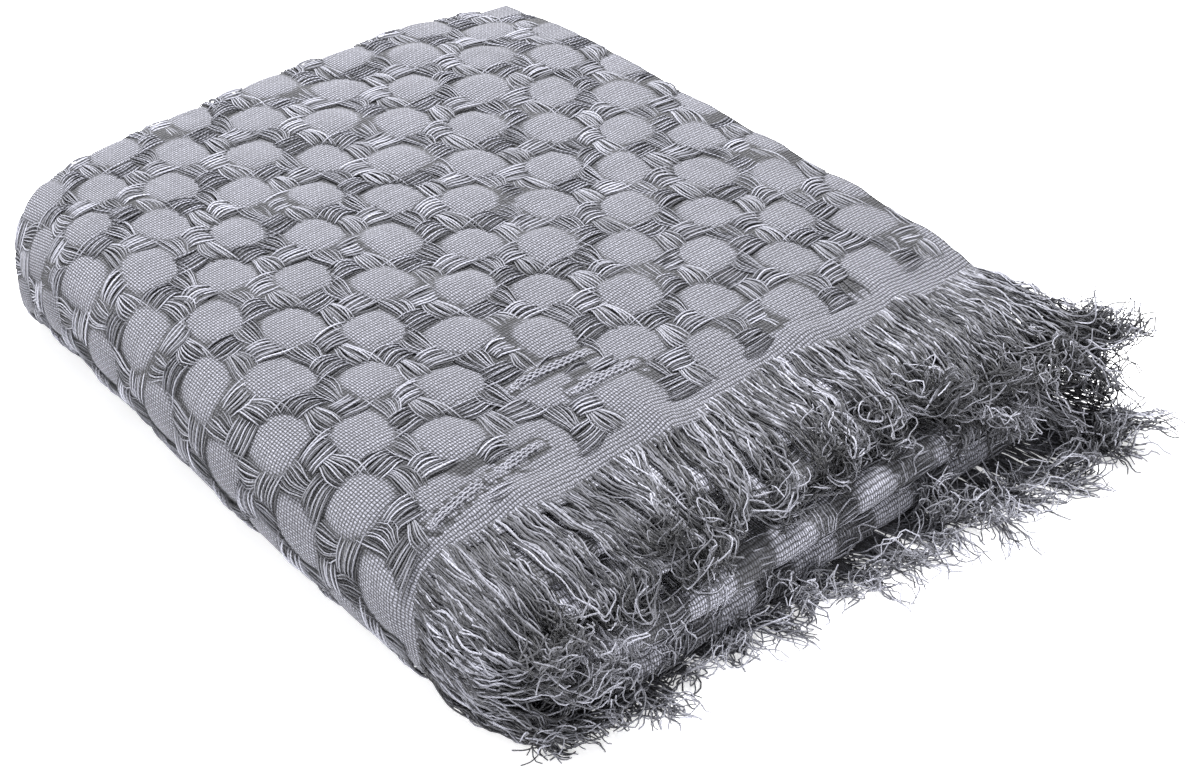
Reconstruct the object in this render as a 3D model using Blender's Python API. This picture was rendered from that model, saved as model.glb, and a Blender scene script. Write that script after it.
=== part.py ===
"""A woven cotton throw with a fringe of loose ends along both its warp edges, folded and lying flat.

The cloth is folded in three along its length, back and forth, which gives a stack of three plies. The
stack is then folded in half across its width, and in half again, so that twelve plies lie on each other
and one broad round fold closes the -Y side from top to bottom. The outer fringe falls over the +X end.
The inner fringe lies between the plies at the -X end. Each fringe is one comb along its edge.

Metres, +Z up. The origin is under the middle of the folded throw, on the surface that it lies on.
"""

import math
from typing import NamedTuple

import bpy
import numpy as np

# The cloth, flat.
CLOTH_LENGTH = 1.275
CLOTH_THICKNESS = 0.0044

# The stack of plies that is folded across the width.
PLY_PITCH = 0.0075
STACK = 3 * PLY_PITCH
WEST_SWELL = 0.35 * PLY_PITCH
EAST_SWELL = 0.45 * PLY_PITCH
SWELL_REACH = 0.045

# The plan, before it is centred: the +X and -X folds of the stack, and its two sides.
WEST_EDGE = -0.307
EAST_EDGE = 0.159
SOUTH_SIDE = -0.079
NORTH_SIDE = 0.335
SELVAGE_INSET = 0.004
INNER_SELVAGE_INSET = 0.009
INNER_TURN_INSET = 0.002

# The fringes.
INNER_REACH = 0.075
FRINGE_THICKNESS = 0.0018
FRINGE_GAP = 0.0008
FRINGE_SPINE = 0.010
TOOTH_PITCH = 0.029
TOOTH_WIDTH = 0.021
DROOP_START = 0.009
DROOP_ANGLE = math.radians(78)
NORTH_DROOP_ANGLE = math.radians(33)
NORTH_SPLAY = 0.032
NORTH_ALONG_Y = (0.20, 0.32)
DROOP_HEIGHTS = (STACK, 3.4 * STACK)
DROOP_ROWS = 3

# How far the lower plies have slipped out at the +X end: all the way along x, y and z, each between two
# places, and with the share that is left at the near one.
END_SLIP = 0.036
SLIP_HEIGHTS = (0.036, 0.082)
SLIP_ALONG_X = (-0.05, 0.11)
SLIP_LEFT_AT_WEST = 0.3
SLIP_ALONG_Y = (SOUTH_SIDE, SOUTH_SIDE + 0.12)
SLIP_LEFT_AT_SOUTH = 0.35

# How far the ends and corners sink, as shares of the height, and the places between which they do.
END_SAG = 0.05
CORNER_SAG = 0.09
NORTH_SAG = 0.02
WEST_SAG_ALONG_X = (-0.20, -0.33)
EAST_SAG_ALONG_X = (0.02, 0.16)
EAST_SAG_SHARE = 0.7
CORNER_SAG_ACROSS = (0.55, 1.0)
NORTH_SAG_ACROSS = (0.6, 1.0)

# The plan's skew, its bowed -X end, its -Y side drawn in towards that end, and the top's slow swell.
PLAN_SKEW = 0.04
WEST_BOW = 0.018
SOUTH_BOW = 0.030
SOUTH_BOW_POWER = 8
SOUTH_TAPER = 0.013
TAPER_ALONG_X = (0.02, -0.26)
SWELL_SHARE = 0.013
SWELL_RATE_X = 9.0
SWELL_RATE_Y = 11.0

LEAST_COLUMN = 0.002


class Wave(NamedTuple):
    """A sine wave along a length: its height, its radians per metre and its phase."""

    height: float
    rate: float
    phase: float

    def at(self, place: float) -> float:
        """The wave's height at a place along the length."""
        return self.height * math.sin(place * self.rate + self.phase)


EDGE_WANDER = (Wave(0.003, 27.0, 0.0), Wave(0.002, 61.0, 1.0))


class Leg(NamedTuple):
    """One straight run or half turn of the stack's middle, in the plane across the throw's width."""

    name: str
    length: float
    stations: int
    outer_edge: float
    fringe_reach: float
    y: float
    z: float
    heading: int
    radius: float
    start_angle: float
    turn: int


class Folds:
    """The path of the stack's middle: down from the top face, round, and back in between."""

    def __init__(self) -> None:
        south_turn = SOUTH_SIDE + 2 * STACK
        book_turn = NORTH_SIDE - STACK
        inner_turn = south_turn + INNER_TURN_INSET
        top_start = NORTH_SIDE - SELVAGE_INSET
        inner_end = NORTH_SIDE - INNER_SELVAGE_INSET
        half = math.pi / 2
        top_middle = (top_start + south_turn) / 2
        bottom_middle = (south_turn + book_turn) / 2
        self.legs = (
            self._run("top back", top_start, top_middle, 3.5 * STACK, 3, 0.130, 0.092),
            self._run("top front", top_middle, south_turn, 3.5 * STACK, 3, 0.130, 0.072),
            self._turn("south round", south_turn, 2 * STACK, 1.5 * STACK, half, 1, 9, 0.126, 0.064),
            self._run("bottom front", south_turn, bottom_middle, 0.5 * STACK, 3, 0.108, 0.066),
            self._run("bottom back", bottom_middle, book_turn, 0.5 * STACK, 3, 0.118, 0.078),
            self._turn("book fold", book_turn, STACK, 0.5 * STACK, -half, 1, 6, 0.124, 0.092),
            self._run("inner lower", book_turn, inner_turn, 1.5 * STACK, 4, 0.112, 0.078),
            self._turn("inner round", inner_turn, 2 * STACK, 0.5 * STACK, 3 * half, -1, 6, 0.104, 0.065),
            self._run("inner upper", inner_turn, inner_end, 2.5 * STACK, 4, 0.106, 0.093),
        )
        self.ends = np.cumsum([leg.length for leg in self.legs])
        self.middles = [end - leg.length / 2 for leg, end in zip(self.legs, self.ends)]
        self.width = float(self.ends[-1])

    @staticmethod
    def _run(
        name: str, start: float, end: float, height: float, stations: int, edge: float, reach: float
    ) -> Leg:
        """A straight run from one y to another at a height."""
        heading = 1 if end > start else -1
        return Leg(name, abs(end - start), stations, edge, reach, start, height, heading, 0.0, 0.0, 0)

    @staticmethod
    def _turn(
        name: str, y: float, z: float, radius: float, start: float, turn: int,
        stations: int, edge: float, reach: float,
    ) -> Leg:
        """A half turn about (y, z), where turn is 1 anticlockwise and -1 clockwise."""
        return Leg(name, math.pi * radius, stations, edge, reach, y, z, 0, radius, start, turn)

    def stations(self) -> np.ndarray:
        """Distances along the path at which the cloth is modelled."""
        places = [0.0]
        for leg, end in zip(self.legs, self.ends):
            places.extend(end - leg.length * (1 - k / leg.stations) for k in range(1, leg.stations + 1))
        return np.array(places)

    def facet(self, distance: float) -> tuple[np.ndarray, np.ndarray]:
        """As place, but along the straight facets between the cloth's own stations."""
        stations = self.stations()
        index = int(np.clip(np.searchsorted(stations, distance) - 1, 0, len(stations) - 2))
        share = (distance - stations[index]) / (stations[index + 1] - stations[index])
        ends = [self.place(station) for station in stations[index : index + 2]]
        return tuple((1 - share) * before + share * after for before, after in zip(*ends))

    def place(self, distance: float) -> tuple[np.ndarray, np.ndarray]:
        """(point, outward normal) of the path in (y, z) at a distance along it."""
        index = min(int(np.searchsorted(self.ends, distance)), len(self.legs) - 1)
        leg = self.legs[index]
        along = distance - (self.ends[index] - leg.length)
        if not leg.turn:
            return np.array((leg.y + leg.heading * along, leg.z)), np.array((0.0, -float(leg.heading)))
        angle = leg.start_angle + leg.turn * along / leg.radius
        ray = np.array((math.cos(angle), math.sin(angle)))
        return np.array((leg.y, leg.z)) + leg.radius * ray, leg.turn * ray

    def outer_edge(self, distance: float) -> float:
        """x of the outer ply's fringed edge, which wanders a little."""
        edge = np.interp(distance, self.middles, [leg.outer_edge for leg in self.legs])
        return float(edge) + sum(wave.at(distance) for wave in EDGE_WANDER)

    def fringe_reach(self, distance: float) -> float:
        """How far the outer fringe's wavy, curled ends reach from the cloth's edge."""
        return float(np.interp(distance, self.middles, [leg.fringe_reach for leg in self.legs]))


def smoothstep(value: np.ndarray | float, start: float, end: float) -> np.ndarray:
    """0 at the start and before it, 1 at the end and past it, and a smooth rise between."""
    share = np.clip((np.asarray(value, float) - start) / (end - start), 0.0, 1.0)
    return share * share * (3 - 2 * share)


def arc(x: float, offset: float, radius: float, start: float, end: float, steps: int) -> list[tuple]:
    """Points of a fold in the section, between its two ends, which are left out."""
    angles = np.linspace(start, end, steps + 1)[1:-1]
    return [(x + radius * math.cos(a), offset + radius * math.sin(a)) for a in angles]


def section_line(outer_edge: float) -> list[tuple]:
    """(x, offset) along the cloth's middle, from its outer edge through both folds to its inner edge."""
    half = math.pi / 2
    west_radius = (PLY_PITCH + WEST_SWELL) / 2
    east_radius = (PLY_PITCH + EAST_SWELL) / 2
    west = WEST_EDGE + west_radius + CLOTH_THICKNESS / 2
    east = EAST_EDGE - east_radius - CLOTH_THICKNESS / 2
    used = outer_edge - west + math.pi * (west_radius + east_radius) + east - west
    inner_edge = east - (CLOTH_LENGTH - used)
    line = [(x, PLY_PITCH) for x in np.linspace(outer_edge, west, 6)]
    line += arc(west, PLY_PITCH - west_radius, west_radius, half, 3 * half, 6)
    line += [(west, -WEST_SWELL), (west + SWELL_REACH, 0.0), ((west + east) / 2, 0.0)]
    line += [(east - SWELL_REACH, 0.0), (east, EAST_SWELL)]
    line += arc(east, EAST_SWELL - east_radius, east_radius, half, -half, 6)
    line += [(x, -PLY_PITCH) for x in np.linspace(east, inner_edge, 5)]
    return line


def settle(points: np.ndarray) -> np.ndarray:
    """Moves points of the even folded throw to where the soft, uneven one has them.

    The lower plies have slipped out at the +X end, the corners and ends sink a little, the -X end is
    bowed, the sides lie a little askew, and the top face swells and dips. The underside stays flat.
    """
    x, y, z = (points[..., axis].copy() for axis in range(3))
    across = (y - (SOUTH_SIDE + NORTH_SIDE) / 2) / ((NORTH_SIDE - SOUTH_SIDE) / 2)
    slip = END_SLIP * (1 - smoothstep(z, *SLIP_HEIGHTS))
    slip *= SLIP_LEFT_AT_WEST + (1 - SLIP_LEFT_AT_WEST) * smoothstep(x, *SLIP_ALONG_X)
    slip *= SLIP_LEFT_AT_SOUTH + (1 - SLIP_LEFT_AT_SOUTH) * smoothstep(y, *SLIP_ALONG_Y)
    to_west = smoothstep(x, *WEST_SAG_ALONG_X)
    to_south = np.maximum(-across, 0.0)
    bow = (WEST_BOW * across**2 + SOUTH_BOW * to_south**SOUTH_BOW_POWER) * to_west
    taper = SOUTH_TAPER * to_south * smoothstep(x, *TAPER_ALONG_X)
    end = np.maximum(to_west, EAST_SAG_SHARE * smoothstep(x, *EAST_SAG_ALONG_X))
    sag = END_SAG * end + NORTH_SAG * smoothstep(across, *NORTH_SAG_ACROSS)
    sag += CORNER_SAG * end * smoothstep(np.abs(across), *CORNER_SAG_ACROSS)
    swell = SWELL_SHARE * np.sin(SWELL_RATE_X * x + 1.0) * np.sin(SWELL_RATE_Y * y + 0.5)
    height = CLOTH_THICKNESS / 2 + (z - PLY_PITCH / 2) * (1 - sag + swell)
    return np.stack([x + slip + bow, y + taper - PLAN_SKEW * x, height], axis=-1)


def cloth_grid(folds: Folds) -> np.ndarray:
    """The cloth's middle surface, as columns along the folds' path by rows along the section."""
    columns = []
    for distance in folds.stations():
        centre, normal = folds.place(distance)
        line = np.array(section_line(folds.outer_edge(distance)))
        columns.append(np.column_stack([line[:, 0], centre + line[:, 1:] * normal]))
    return settle(np.array(columns))


def comb_columns(folds: Folds) -> tuple[np.ndarray, list[bool]]:
    """(distances of the comb's columns, whether each stretch between two of them is a tooth)."""
    margin = (TOOTH_PITCH - TOOTH_WIDTH) / 2
    count = int(folds.width // TOOTH_PITCH)
    first = (folds.width - count * TOOTH_PITCH) / 2
    teeth = [(first + k * TOOTH_PITCH + margin, first + (k + 1) * TOOTH_PITCH - margin) for k in range(count)]
    stations = folds.stations()
    clear = [place for place in np.ravel(teeth) if np.abs(stations - place).min() > LEAST_COLUMN]
    distances = np.array(sorted([*stations, *clear]))
    middles = (distances[1:] + distances[:-1]) / 2
    return distances, [any(low < middle < high for low, high in teeth) for middle in middles]


def follow_edge(comb: np.ndarray, distances: np.ndarray, folds: Folds, edge: np.ndarray) -> np.ndarray:
    """Moves each column of a settled comb so that its root lies along the cloth's faceted edge."""
    stations = folds.stations()
    roots = np.column_stack([np.interp(distances, stations, edge[:, axis]) for axis in range(3)])
    return comb + (roots - comb[:, 0])[:, None, :]


def outer_comb_grid(folds: Folds, distances: np.ndarray, cloth_edge: np.ndarray) -> np.ndarray:
    """Rows of the outer fringe: its spine at the cloth's edge, out over the fold, then down.

    The top ends hang the most, the lower ones lie flatter, and the floor's lie flat. Near the +Y corner
    they hang less and splay out sideways.
    """
    floor_height = (PLY_PITCH - CLOTH_THICKNESS + FRINGE_THICKNESS) / 2 + FRINGE_GAP
    columns = []
    for distance in distances:
        centre, normal = folds.facet(distance)
        y, z = centre + PLY_PITCH * normal
        edge = folds.outer_edge(distance)
        tip = edge + folds.fringe_reach(distance)
        north = float(smoothstep(y, *NORTH_ALONG_Y))
        angle = DROOP_ANGLE + (NORTH_DROOP_ANGLE - DROOP_ANGLE) * north
        angle *= float(smoothstep(z, *DROOP_HEIGHTS))
        flat = min(tip, EAST_EDGE + DROOP_START)
        column = [(edge, y, z), (edge + FRINGE_SPINE, y, z), (flat, y, z)]
        for share in np.linspace(0.0, 1.0, DROOP_ROWS + 1)[1:]:
            hung = share * (tip - flat)
            low = max(z - hung * math.sin(angle), floor_height)
            column.append((flat + hung * math.cos(angle), y + NORTH_SPLAY * north * share, low))
        columns.append(column)
    comb = follow_edge(settle(np.array(columns)), distances, folds, cloth_edge)
    return comb + np.array((FRINGE_GAP, 0.0, 0.0))


def inner_comb_grid(folds: Folds, distances: np.ndarray, cloth_edge: np.ndarray) -> np.ndarray:
    """Rows of the inner fringe, which lies straight between the plies."""
    columns = []
    for distance in distances:
        centre, normal = folds.facet(distance)
        edge = section_line(folds.outer_edge(distance))[-1][0]
        y, z = centre - PLY_PITCH * normal
        rows = (0.0, FRINGE_SPINE, INNER_REACH)
        columns.append([(edge - row, y, z) for row in rows])
    comb = follow_edge(settle(np.array(columns)), distances, folds, cloth_edge)
    return comb - np.array((FRINGE_GAP, 0.0, 0.0))


def thickened(grid: np.ndarray, thickness: float, present: np.ndarray) -> tuple[list, list]:
    """A closed solid of a middle surface: (vertices, quads) with a wall round every missing cell.

    Args:
        grid: points of the surface, columns by rows.
        thickness: the solid's thickness, half on each side of the surface.
        present: which cells between the columns and rows are there.
    """
    tangent = np.gradient(grid, axis=0)
    down = np.gradient(grid, axis=1)
    normal = np.cross(tangent, down)
    normal /= np.linalg.norm(normal, axis=-1, keepdims=True)
    columns, rows = grid.shape[:2]
    layers = (grid + normal * thickness / 2, grid - normal * thickness / 2)
    vertices = [tuple(point) for layer in layers for column in layer for point in column]

    def at(layer: int, column: int, row: int) -> int:
        return (layer * columns + column) * rows + row

    def filled(column: int, row: int) -> bool:
        return 0 <= column < columns - 1 and 0 <= row < rows - 1 and bool(present[column, row])

    quads = []
    for column in range(columns - 1):
        for row in range(rows - 1):
            if not filled(column, row):
                continue
            a, b = (column, row), (column + 1, row)
            c, d = (column + 1, row + 1), (column, row + 1)
            quads.append([at(0, *a), at(0, *b), at(0, *c), at(0, *d)])
            quads.append([at(1, *d), at(1, *c), at(1, *b), at(1, *a)])
            sides = ((a, b, (0, -1)), (b, c, (1, 0)), (c, d, (0, 1)), (d, a, (-1, 0)))
            for start, end, step in sides:
                if not filled(column + step[0], row + step[1]):
                    quads.append([at(0, *end), at(0, *start), at(1, *start), at(1, *end)])
    return vertices, quads


def yarn_material(name: str, colour: tuple[float, float, float], roughness: float) -> bpy.types.Material:
    """A plain matt cotton."""
    material = bpy.data.materials.new(name)
    material.use_nodes = True
    shader = material.node_tree.nodes["Principled BSDF"]
    shader.inputs["Base Color"].default_value = (*colour, 1.0)
    shader.inputs["Roughness"].default_value = roughness
    shader.inputs["Metallic"].default_value = 0.0
    return material


def add_solid(
    name: str, vertices: np.ndarray, quads: list, material: bpy.types.Material, group: bpy.types.Collection
) -> None:
    """Adds one named object, smooth except at its edges, without the points that no face uses."""
    used = sorted({index for quad in quads for index in quad})
    renumbered = {index: place for place, index in enumerate(used)}
    mesh = bpy.data.meshes.new(name)
    mesh.from_pydata(
        [tuple(vertices[index]) for index in used], [], [[renumbered[i] for i in quad] for quad in quads]
    )
    mesh.materials.append(material)
    mesh.shade_smooth()
    mesh.set_sharp_from_angle(angle=math.radians(50))
    group.objects.link(bpy.data.objects.new(name, mesh))


def main() -> None:
    """Builds the folded cloth and its two fringes, centred over the origin."""
    for old in list(bpy.data.objects):
        bpy.data.objects.remove(old)
    group = bpy.data.collections.new("folded_throw")
    bpy.context.scene.collection.children.link(group)

    folds = Folds()
    distances, teeth = comb_columns(folds)
    cloth = cloth_grid(folds)
    outer = outer_comb_grid(folds, distances, cloth[:, 0])
    inner = inner_comb_grid(folds, distances, cloth[:, -1])
    grids = {
        "throw_cloth": (cloth, CLOTH_THICKNESS, np.ones((cloth.shape[0] - 1, cloth.shape[1] - 1), bool)),
    }
    for name, grid in (("outer_fringe", outer), ("inner_fringe", inner)):
        present = np.repeat(np.array(teeth)[:, None], grid.shape[1] - 1, axis=1)
        present[:, 0] = True
        grids[name] = (grid, FRINGE_THICKNESS, present)

    cloth_grey = yarn_material("throw_cotton", (0.27, 0.28, 0.30), 0.9)
    fringe_grey = yarn_material("fringe_yarn", (0.22, 0.23, 0.25), 0.95)
    solids = {name: thickened(*parts) for name, parts in grids.items()}
    corners = np.concatenate([np.array(vertices) for vertices, _ in solids.values()])
    low, high = corners.min(axis=0), corners.max(axis=0)
    centre = np.array(((low[0] + high[0]) / 2, (low[1] + high[1]) / 2, low[2]))
    for name, (vertices, quads) in solids.items():
        material = cloth_grey if name == "throw_cloth" else fringe_grey
        add_solid(name, np.array(vertices) - centre, quads, material, group)


main()
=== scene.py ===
"""A woven cotton throw with loose warp ends along both its warp edges, folded and lying flat.

The cloth is one sheet. Its plain-woven pads stand up between bundles of loose floating yarns, which are
yarns of their own here. The sheet is folded in three along its warp, and the stack of plies is folded in
half across its width, and in half again. Metres, +Z up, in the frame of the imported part.
"""

from __future__ import annotations

import logging
import math
from dataclasses import dataclass, field
from enum import Enum

import bpy
import numpy as np
from mathutils import Matrix

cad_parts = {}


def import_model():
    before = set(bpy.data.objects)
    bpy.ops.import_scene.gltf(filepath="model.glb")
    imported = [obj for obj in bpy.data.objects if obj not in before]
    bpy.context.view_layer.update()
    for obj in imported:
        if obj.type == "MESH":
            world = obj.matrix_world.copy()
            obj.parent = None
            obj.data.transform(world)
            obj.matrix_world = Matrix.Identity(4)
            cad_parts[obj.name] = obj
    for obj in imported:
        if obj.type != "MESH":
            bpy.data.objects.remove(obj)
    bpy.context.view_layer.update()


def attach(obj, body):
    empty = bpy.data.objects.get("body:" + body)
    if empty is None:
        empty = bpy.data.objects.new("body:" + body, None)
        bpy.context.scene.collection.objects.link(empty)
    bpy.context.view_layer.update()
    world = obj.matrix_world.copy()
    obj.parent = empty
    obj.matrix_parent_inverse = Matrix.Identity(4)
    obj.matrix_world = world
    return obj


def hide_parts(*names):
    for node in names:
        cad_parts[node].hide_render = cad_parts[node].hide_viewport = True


LOG = logging.getLogger("throw")
BODY = "root"
TURN = 2 * math.pi
TINY = 1e-9  # keeps a division by a length away from zero
Span = tuple[float, float]
Colour = tuple[float, float, float]
Vector = tuple[float, float, float]
Array = np.ndarray
Socket = bpy.types.NodeSocket
Material = bpy.types.Material
Piece = bpy.types.Object


class Face(Enum):
    """The cloth's two faces: the one that shows on top of the folded throw, and the other."""

    OUTER = 1
    INNER = -1


class Lie(Enum):
    """How a bundle of floats lies: along the warp or along the weft."""

    WARP = "warp"
    WEFT = "weft"


def added(name: str, data: bpy.types.ID) -> Piece:
    """Adds an object to the scene."""
    piece = bpy.data.objects.new(name, data)
    bpy.context.scene.collection.objects.link(piece)
    return piece


def dress(piece: Piece, slot: str, *nodes: str) -> None:
    """Gives a piece its body, hides the parts that it stands for, and reports its triangles.

    Args:
        piece: the piece.
        slot: the name of its slot; not used.
        nodes: the nodes.
    """
    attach(piece, BODY)
    if nodes:
        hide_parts(*nodes)
    piece.data.calc_loop_triangles()
    LOG.info("%s: %d triangles", piece.name, len(piece.data.loop_triangles))


def smoothstep(value: Array, start: float, end: float) -> Array:
    """A smooth rise from 0 at the start to 1 at the end, which may be the smaller of the two."""
    share = np.clip((np.asarray(value, float) - start) / (end - start), 0.0, 1.0)
    return share * share * (3 - 2 * share)


def soft_noise(places: Array, seed: int, terms: int = 5) -> Array:
    """Smooth noise of about unit size with a scale of about one unit: a sum of waves that run anyhow.

    Args:
        places: points, whose last axis holds their coordinates.
        seed: picks the pattern.
        terms: how many waves are summed.

    Returns:
        One value for each point.
    """
    rates, wave_length, peak = (0.5, 1.6), 1.6, 1.4
    rng = np.random.default_rng(seed)
    total = np.zeros(places.shape[:-1])
    for _ in range(terms):
        direction = rng.normal(size=places.shape[-1])
        direction *= rng.uniform(*rates) * TURN / (np.linalg.norm(direction) * wave_length)
        total += np.sin(places @ direction + rng.uniform(0, TURN))
    return total / math.sqrt(terms / 2) / peak


def unit(vectors: Array) -> Array:
    """The vectors at length one."""
    return vectors / np.maximum(np.linalg.norm(vectors, axis=-1, keepdims=True), TINY)


@dataclass
class FoldShape:
    """Where any place of the flat cloth lies in the folded throw.

    A place is (u, v): u along the warp from the outer fringe, v across it along the middle of the stack of
    plies, from the +Y selvage of the top ply. East is +X, the fringed end, and north is +Y.
    """

    cloth_length: float = 1.275
    sheet: float = 0.0030
    solid_sheet: float = 0.0044
    pitch: float = 0.0075
    west_swell: float = 0.0026
    swell_reach: float = 0.045
    swell_end: float = 0.008
    west_edge: float = -0.307
    east_edge: float = 0.159
    south_side: float = -0.079
    north_side: float = 0.335
    centre: Span = (-0.02700, 0.13621)
    top_start: float = 0.331
    inner_end: float = 0.326
    inner_gap: float = 0.002
    leg_blend: float = 0.02
    lobe_depth: float = 0.0085
    # The fringed edge: its waves as (height, rate, phase), how it hangs, and how thin its sheet gets.
    edge_waves: tuple[Vector, ...] = ((0.003, 27.0, 0.0), (0.002, 61.0, 1.0))
    edge_hang: float = 0.0022
    edge_hang_reach: float = 0.022
    edge_hang_ripple: Vector = (0.5, 83.0, 31.0)
    edge_sheet: float = 0.35
    # Each pucker of that edge: its place across the cloth, half width, height, and reach into the cloth.
    puckers: tuple[tuple[float, float, float, float], ...] = (
        (0.236, 0.010, 0.0050, 0.030), (0.128, 0.014, 0.0045, 0.026), (0.330, 0.012, 0.0020, 0.030),
        (0.060, 0.010, 0.0030, 0.025),
    )
    # The stack's lean: how far the low plies slip east, over which heights and stretches, and at least.
    end_slip: float = 0.036
    slip_heights: Span = (0.036, 0.082)
    slip_along_x: Span = (-0.05, 0.11)
    slip_along_y: float = 0.12
    slip_least: Span = (0.30, 0.35)
    # The outline in plan.
    plan_skew: float = 0.04
    west_bow: float = 0.018
    west_span: Span = (-0.20, -0.33)
    south_bow: float = 0.030
    south_taper: float = 0.013
    taper_span: Span = (0.02, -0.26)
    # How far the stack sags at its ends and corners, as shares of its height. One corner stands proud.
    end_sag: float = 0.05
    east_sag_share: float = 0.7
    east_span: Span = (0.02, 0.16)
    north_sag: float = 0.02
    north_span: Span = (0.6, 1.0)
    corner_sag: float = 0.09
    corner_span: Span = (0.55, 1.0)
    proud: float = 0.8
    proud_across: Span = (0.5, 0.9)
    proud_along: Span = (0.02, 0.12)
    end_roll: float = 0.075
    roll_along: Span = (0.070, 0.170)
    roll_heights: Span = (0.045, 0.085)
    swell_share: float = 0.013
    swell_waves: tuple[Span, Span] = ((9.0, 1.0), (11.0, 0.5))
    legs: list[dict] = field(default_factory=list)

    def __post_init__(self) -> None:
        """Lays out the legs of the stack's path, and the folds of its section."""
        stack = 3 * self.pitch
        south = self.south_side + 2 * stack
        book = self.north_side - stack
        inner = south + self.inner_gap
        half = math.pi / 2
        middle_top, middle_low = (self.top_start + south) / 2, (south + book) / 2
        # A run: name, y at its start and end, height. A turn: name, y, height, radius, start angle, sense.
        # Then, of both: x of the fringed edge, and the swell of the east fold's outer half and inner half.
        self.legs = [
            self._run("top_back", self.top_start, middle_top, 3.5 * stack, 0.130, -0.0005, 0.0002),
            self._run("top_front", middle_top, south, 3.5 * stack, 0.130, -0.0005, 0.0002),
            self._turn("south_round", south, 2 * stack, 1.5 * stack, half, 1, 0.126, 0.0015, 0.0015),
            self._run("bottom_front", south, middle_low, 0.5 * stack, 0.108, 0.0072, 0.0022),
            self._run("bottom_back", middle_low, book, 0.5 * stack, 0.118, 0.0072, 0.0022),
            self._turn("book_fold", book, stack, 0.5 * stack, -half, 1, 0.124, 0.0045, 0.0015),
            self._run("inner_lower", book, inner, 1.5 * stack, 0.112, 0.0066, 0.0024),
            self._turn("inner_round", inner, 2 * stack, 0.5 * stack, 3 * half, -1, 0.104, 0.0010, 0.0005),
            self._run("inner_upper", inner, self.inner_end, 2.5 * stack, 0.106, 0.0025, 0.0026),
        ]
        self.table = {
            key: np.array([leg[key] for leg in self.legs])
            for key in ("length", "y", "z", "heading", "radius", "start", "turn", "edge", "out", "back")
        }
        self.ends = np.cumsum(self.table["length"])
        self.middles = self.ends - self.table["length"] / 2
        self.width = float(self.ends[-1])
        self.west_radius = (self.pitch + self.west_swell) / 2
        self.west = self.west_edge + self.west_radius + self.solid_sheet / 2
        self.east = self.east_edge - self.lobe_depth - self.sheet / 2
        stretch = 1 + self.table["turn"] * self.pitch / np.where(self.table["turn"], self.table["radius"], 1)
        self.weft_knots = np.concatenate([[0.0], np.cumsum(self.table["length"] * stretch)])
        self.path_knots = np.concatenate([[0.0], self.ends])

    @staticmethod
    def _run(name: str, start: float, end: float, z: float, edge: float, out: float, back: float) -> dict:
        """A straight leg's values by name."""
        heading = 1 if end > start else -1
        return dict(
            name=name, length=abs(end - start), y=start, z=z, heading=heading, radius=1.0, start=0.0, turn=0,
            edge=edge, out=out, back=back,
        )

    @staticmethod
    def _turn(
        name: str, y: float, z: float, radius: float, start: float, turn: int,
        edge: float, out: float, back: float,
    ) -> dict:
        """A half turn's values by name. It turns anticlockwise with 1 and clockwise with -1."""
        return dict(
            name=name, length=math.pi * radius, y=y, z=z, heading=0, radius=radius, start=start, turn=turn,
            edge=edge, out=out, back=back,
        )

    def span(self, name: str) -> tuple[float, float]:
        """The distances along the path at which a leg starts and ends."""
        index = [leg["name"] for leg in self.legs].index(name)
        return float(self.path_knots[index]), float(self.path_knots[index + 1])

    def outer_edge(self, v: Array) -> Array:
        """x of the outer ply's fringed edge, which wanders a little."""
        edge = np.interp(v, self.middles, self.table["edge"])
        return edge + sum(height * np.sin(v * rate + phase) for height, rate, phase in self.edge_waves)

    def edge_rise(self, u: Array, v: Array) -> Array:
        """How far the cloth's fringed edge stands up in its puckers, or hangs, off its even place.

        Args:
            u, v: places of the cloth.

        Returns:
            The rise at each place, in metres.
        """
        near = 1 - smoothstep(u, 0.0, self.edge_hang_reach)
        ripple, quick, slow = self.edge_hang_ripple
        rise = -self.edge_hang * near * (1 + ripple * np.sin(v * quick) * np.sin(v * slow + 1.0))
        for middle, half, height, reach in self.puckers:
            rise = rise + height * np.exp(-(((v - middle) / half) ** 2) - (u / reach) ** 2)
        return rise

    def leg_values(self, v: Array, key: str) -> Array:
        """A value of the legs, blended over the ends of each.

        Args:
            v: places across the cloth.
            key: the value's name.

        Returns:
            The value at each place.
        """
        knots, values = [], []
        for start, end, value in zip(self.path_knots[:-1], self.path_knots[1:], self.table[key]):
            blend = min(self.leg_blend, (end - start) / 3)
            knots += [start + blend, end - blend]
            values += [value, value]
        return np.interp(v, knots, values)

    def parts(self, v: Array) -> list[Array]:
        """The stretches of the section: outer ply, west fold, middle ply, east fold, inner ply.

        Args:
            v: places across the cloth.

        Returns:
            u at which each stretch ends, at each place.
        """
        lobe = (self.leg_values(v, "out") + self.leg_values(v, "back") + self.pitch) / 2
        lengths = (
            self.outer_edge(v) - self.west,
            math.pi * self.west_radius,
            self.east - self.west,
            math.pi * np.sqrt((self.lobe_depth**2 + lobe**2) / 2),
        )
        ends = list(np.cumsum([np.broadcast_to(length, np.shape(v)) for length in lengths], axis=0))
        return ends + [np.full(np.shape(v), self.cloth_length)]

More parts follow.
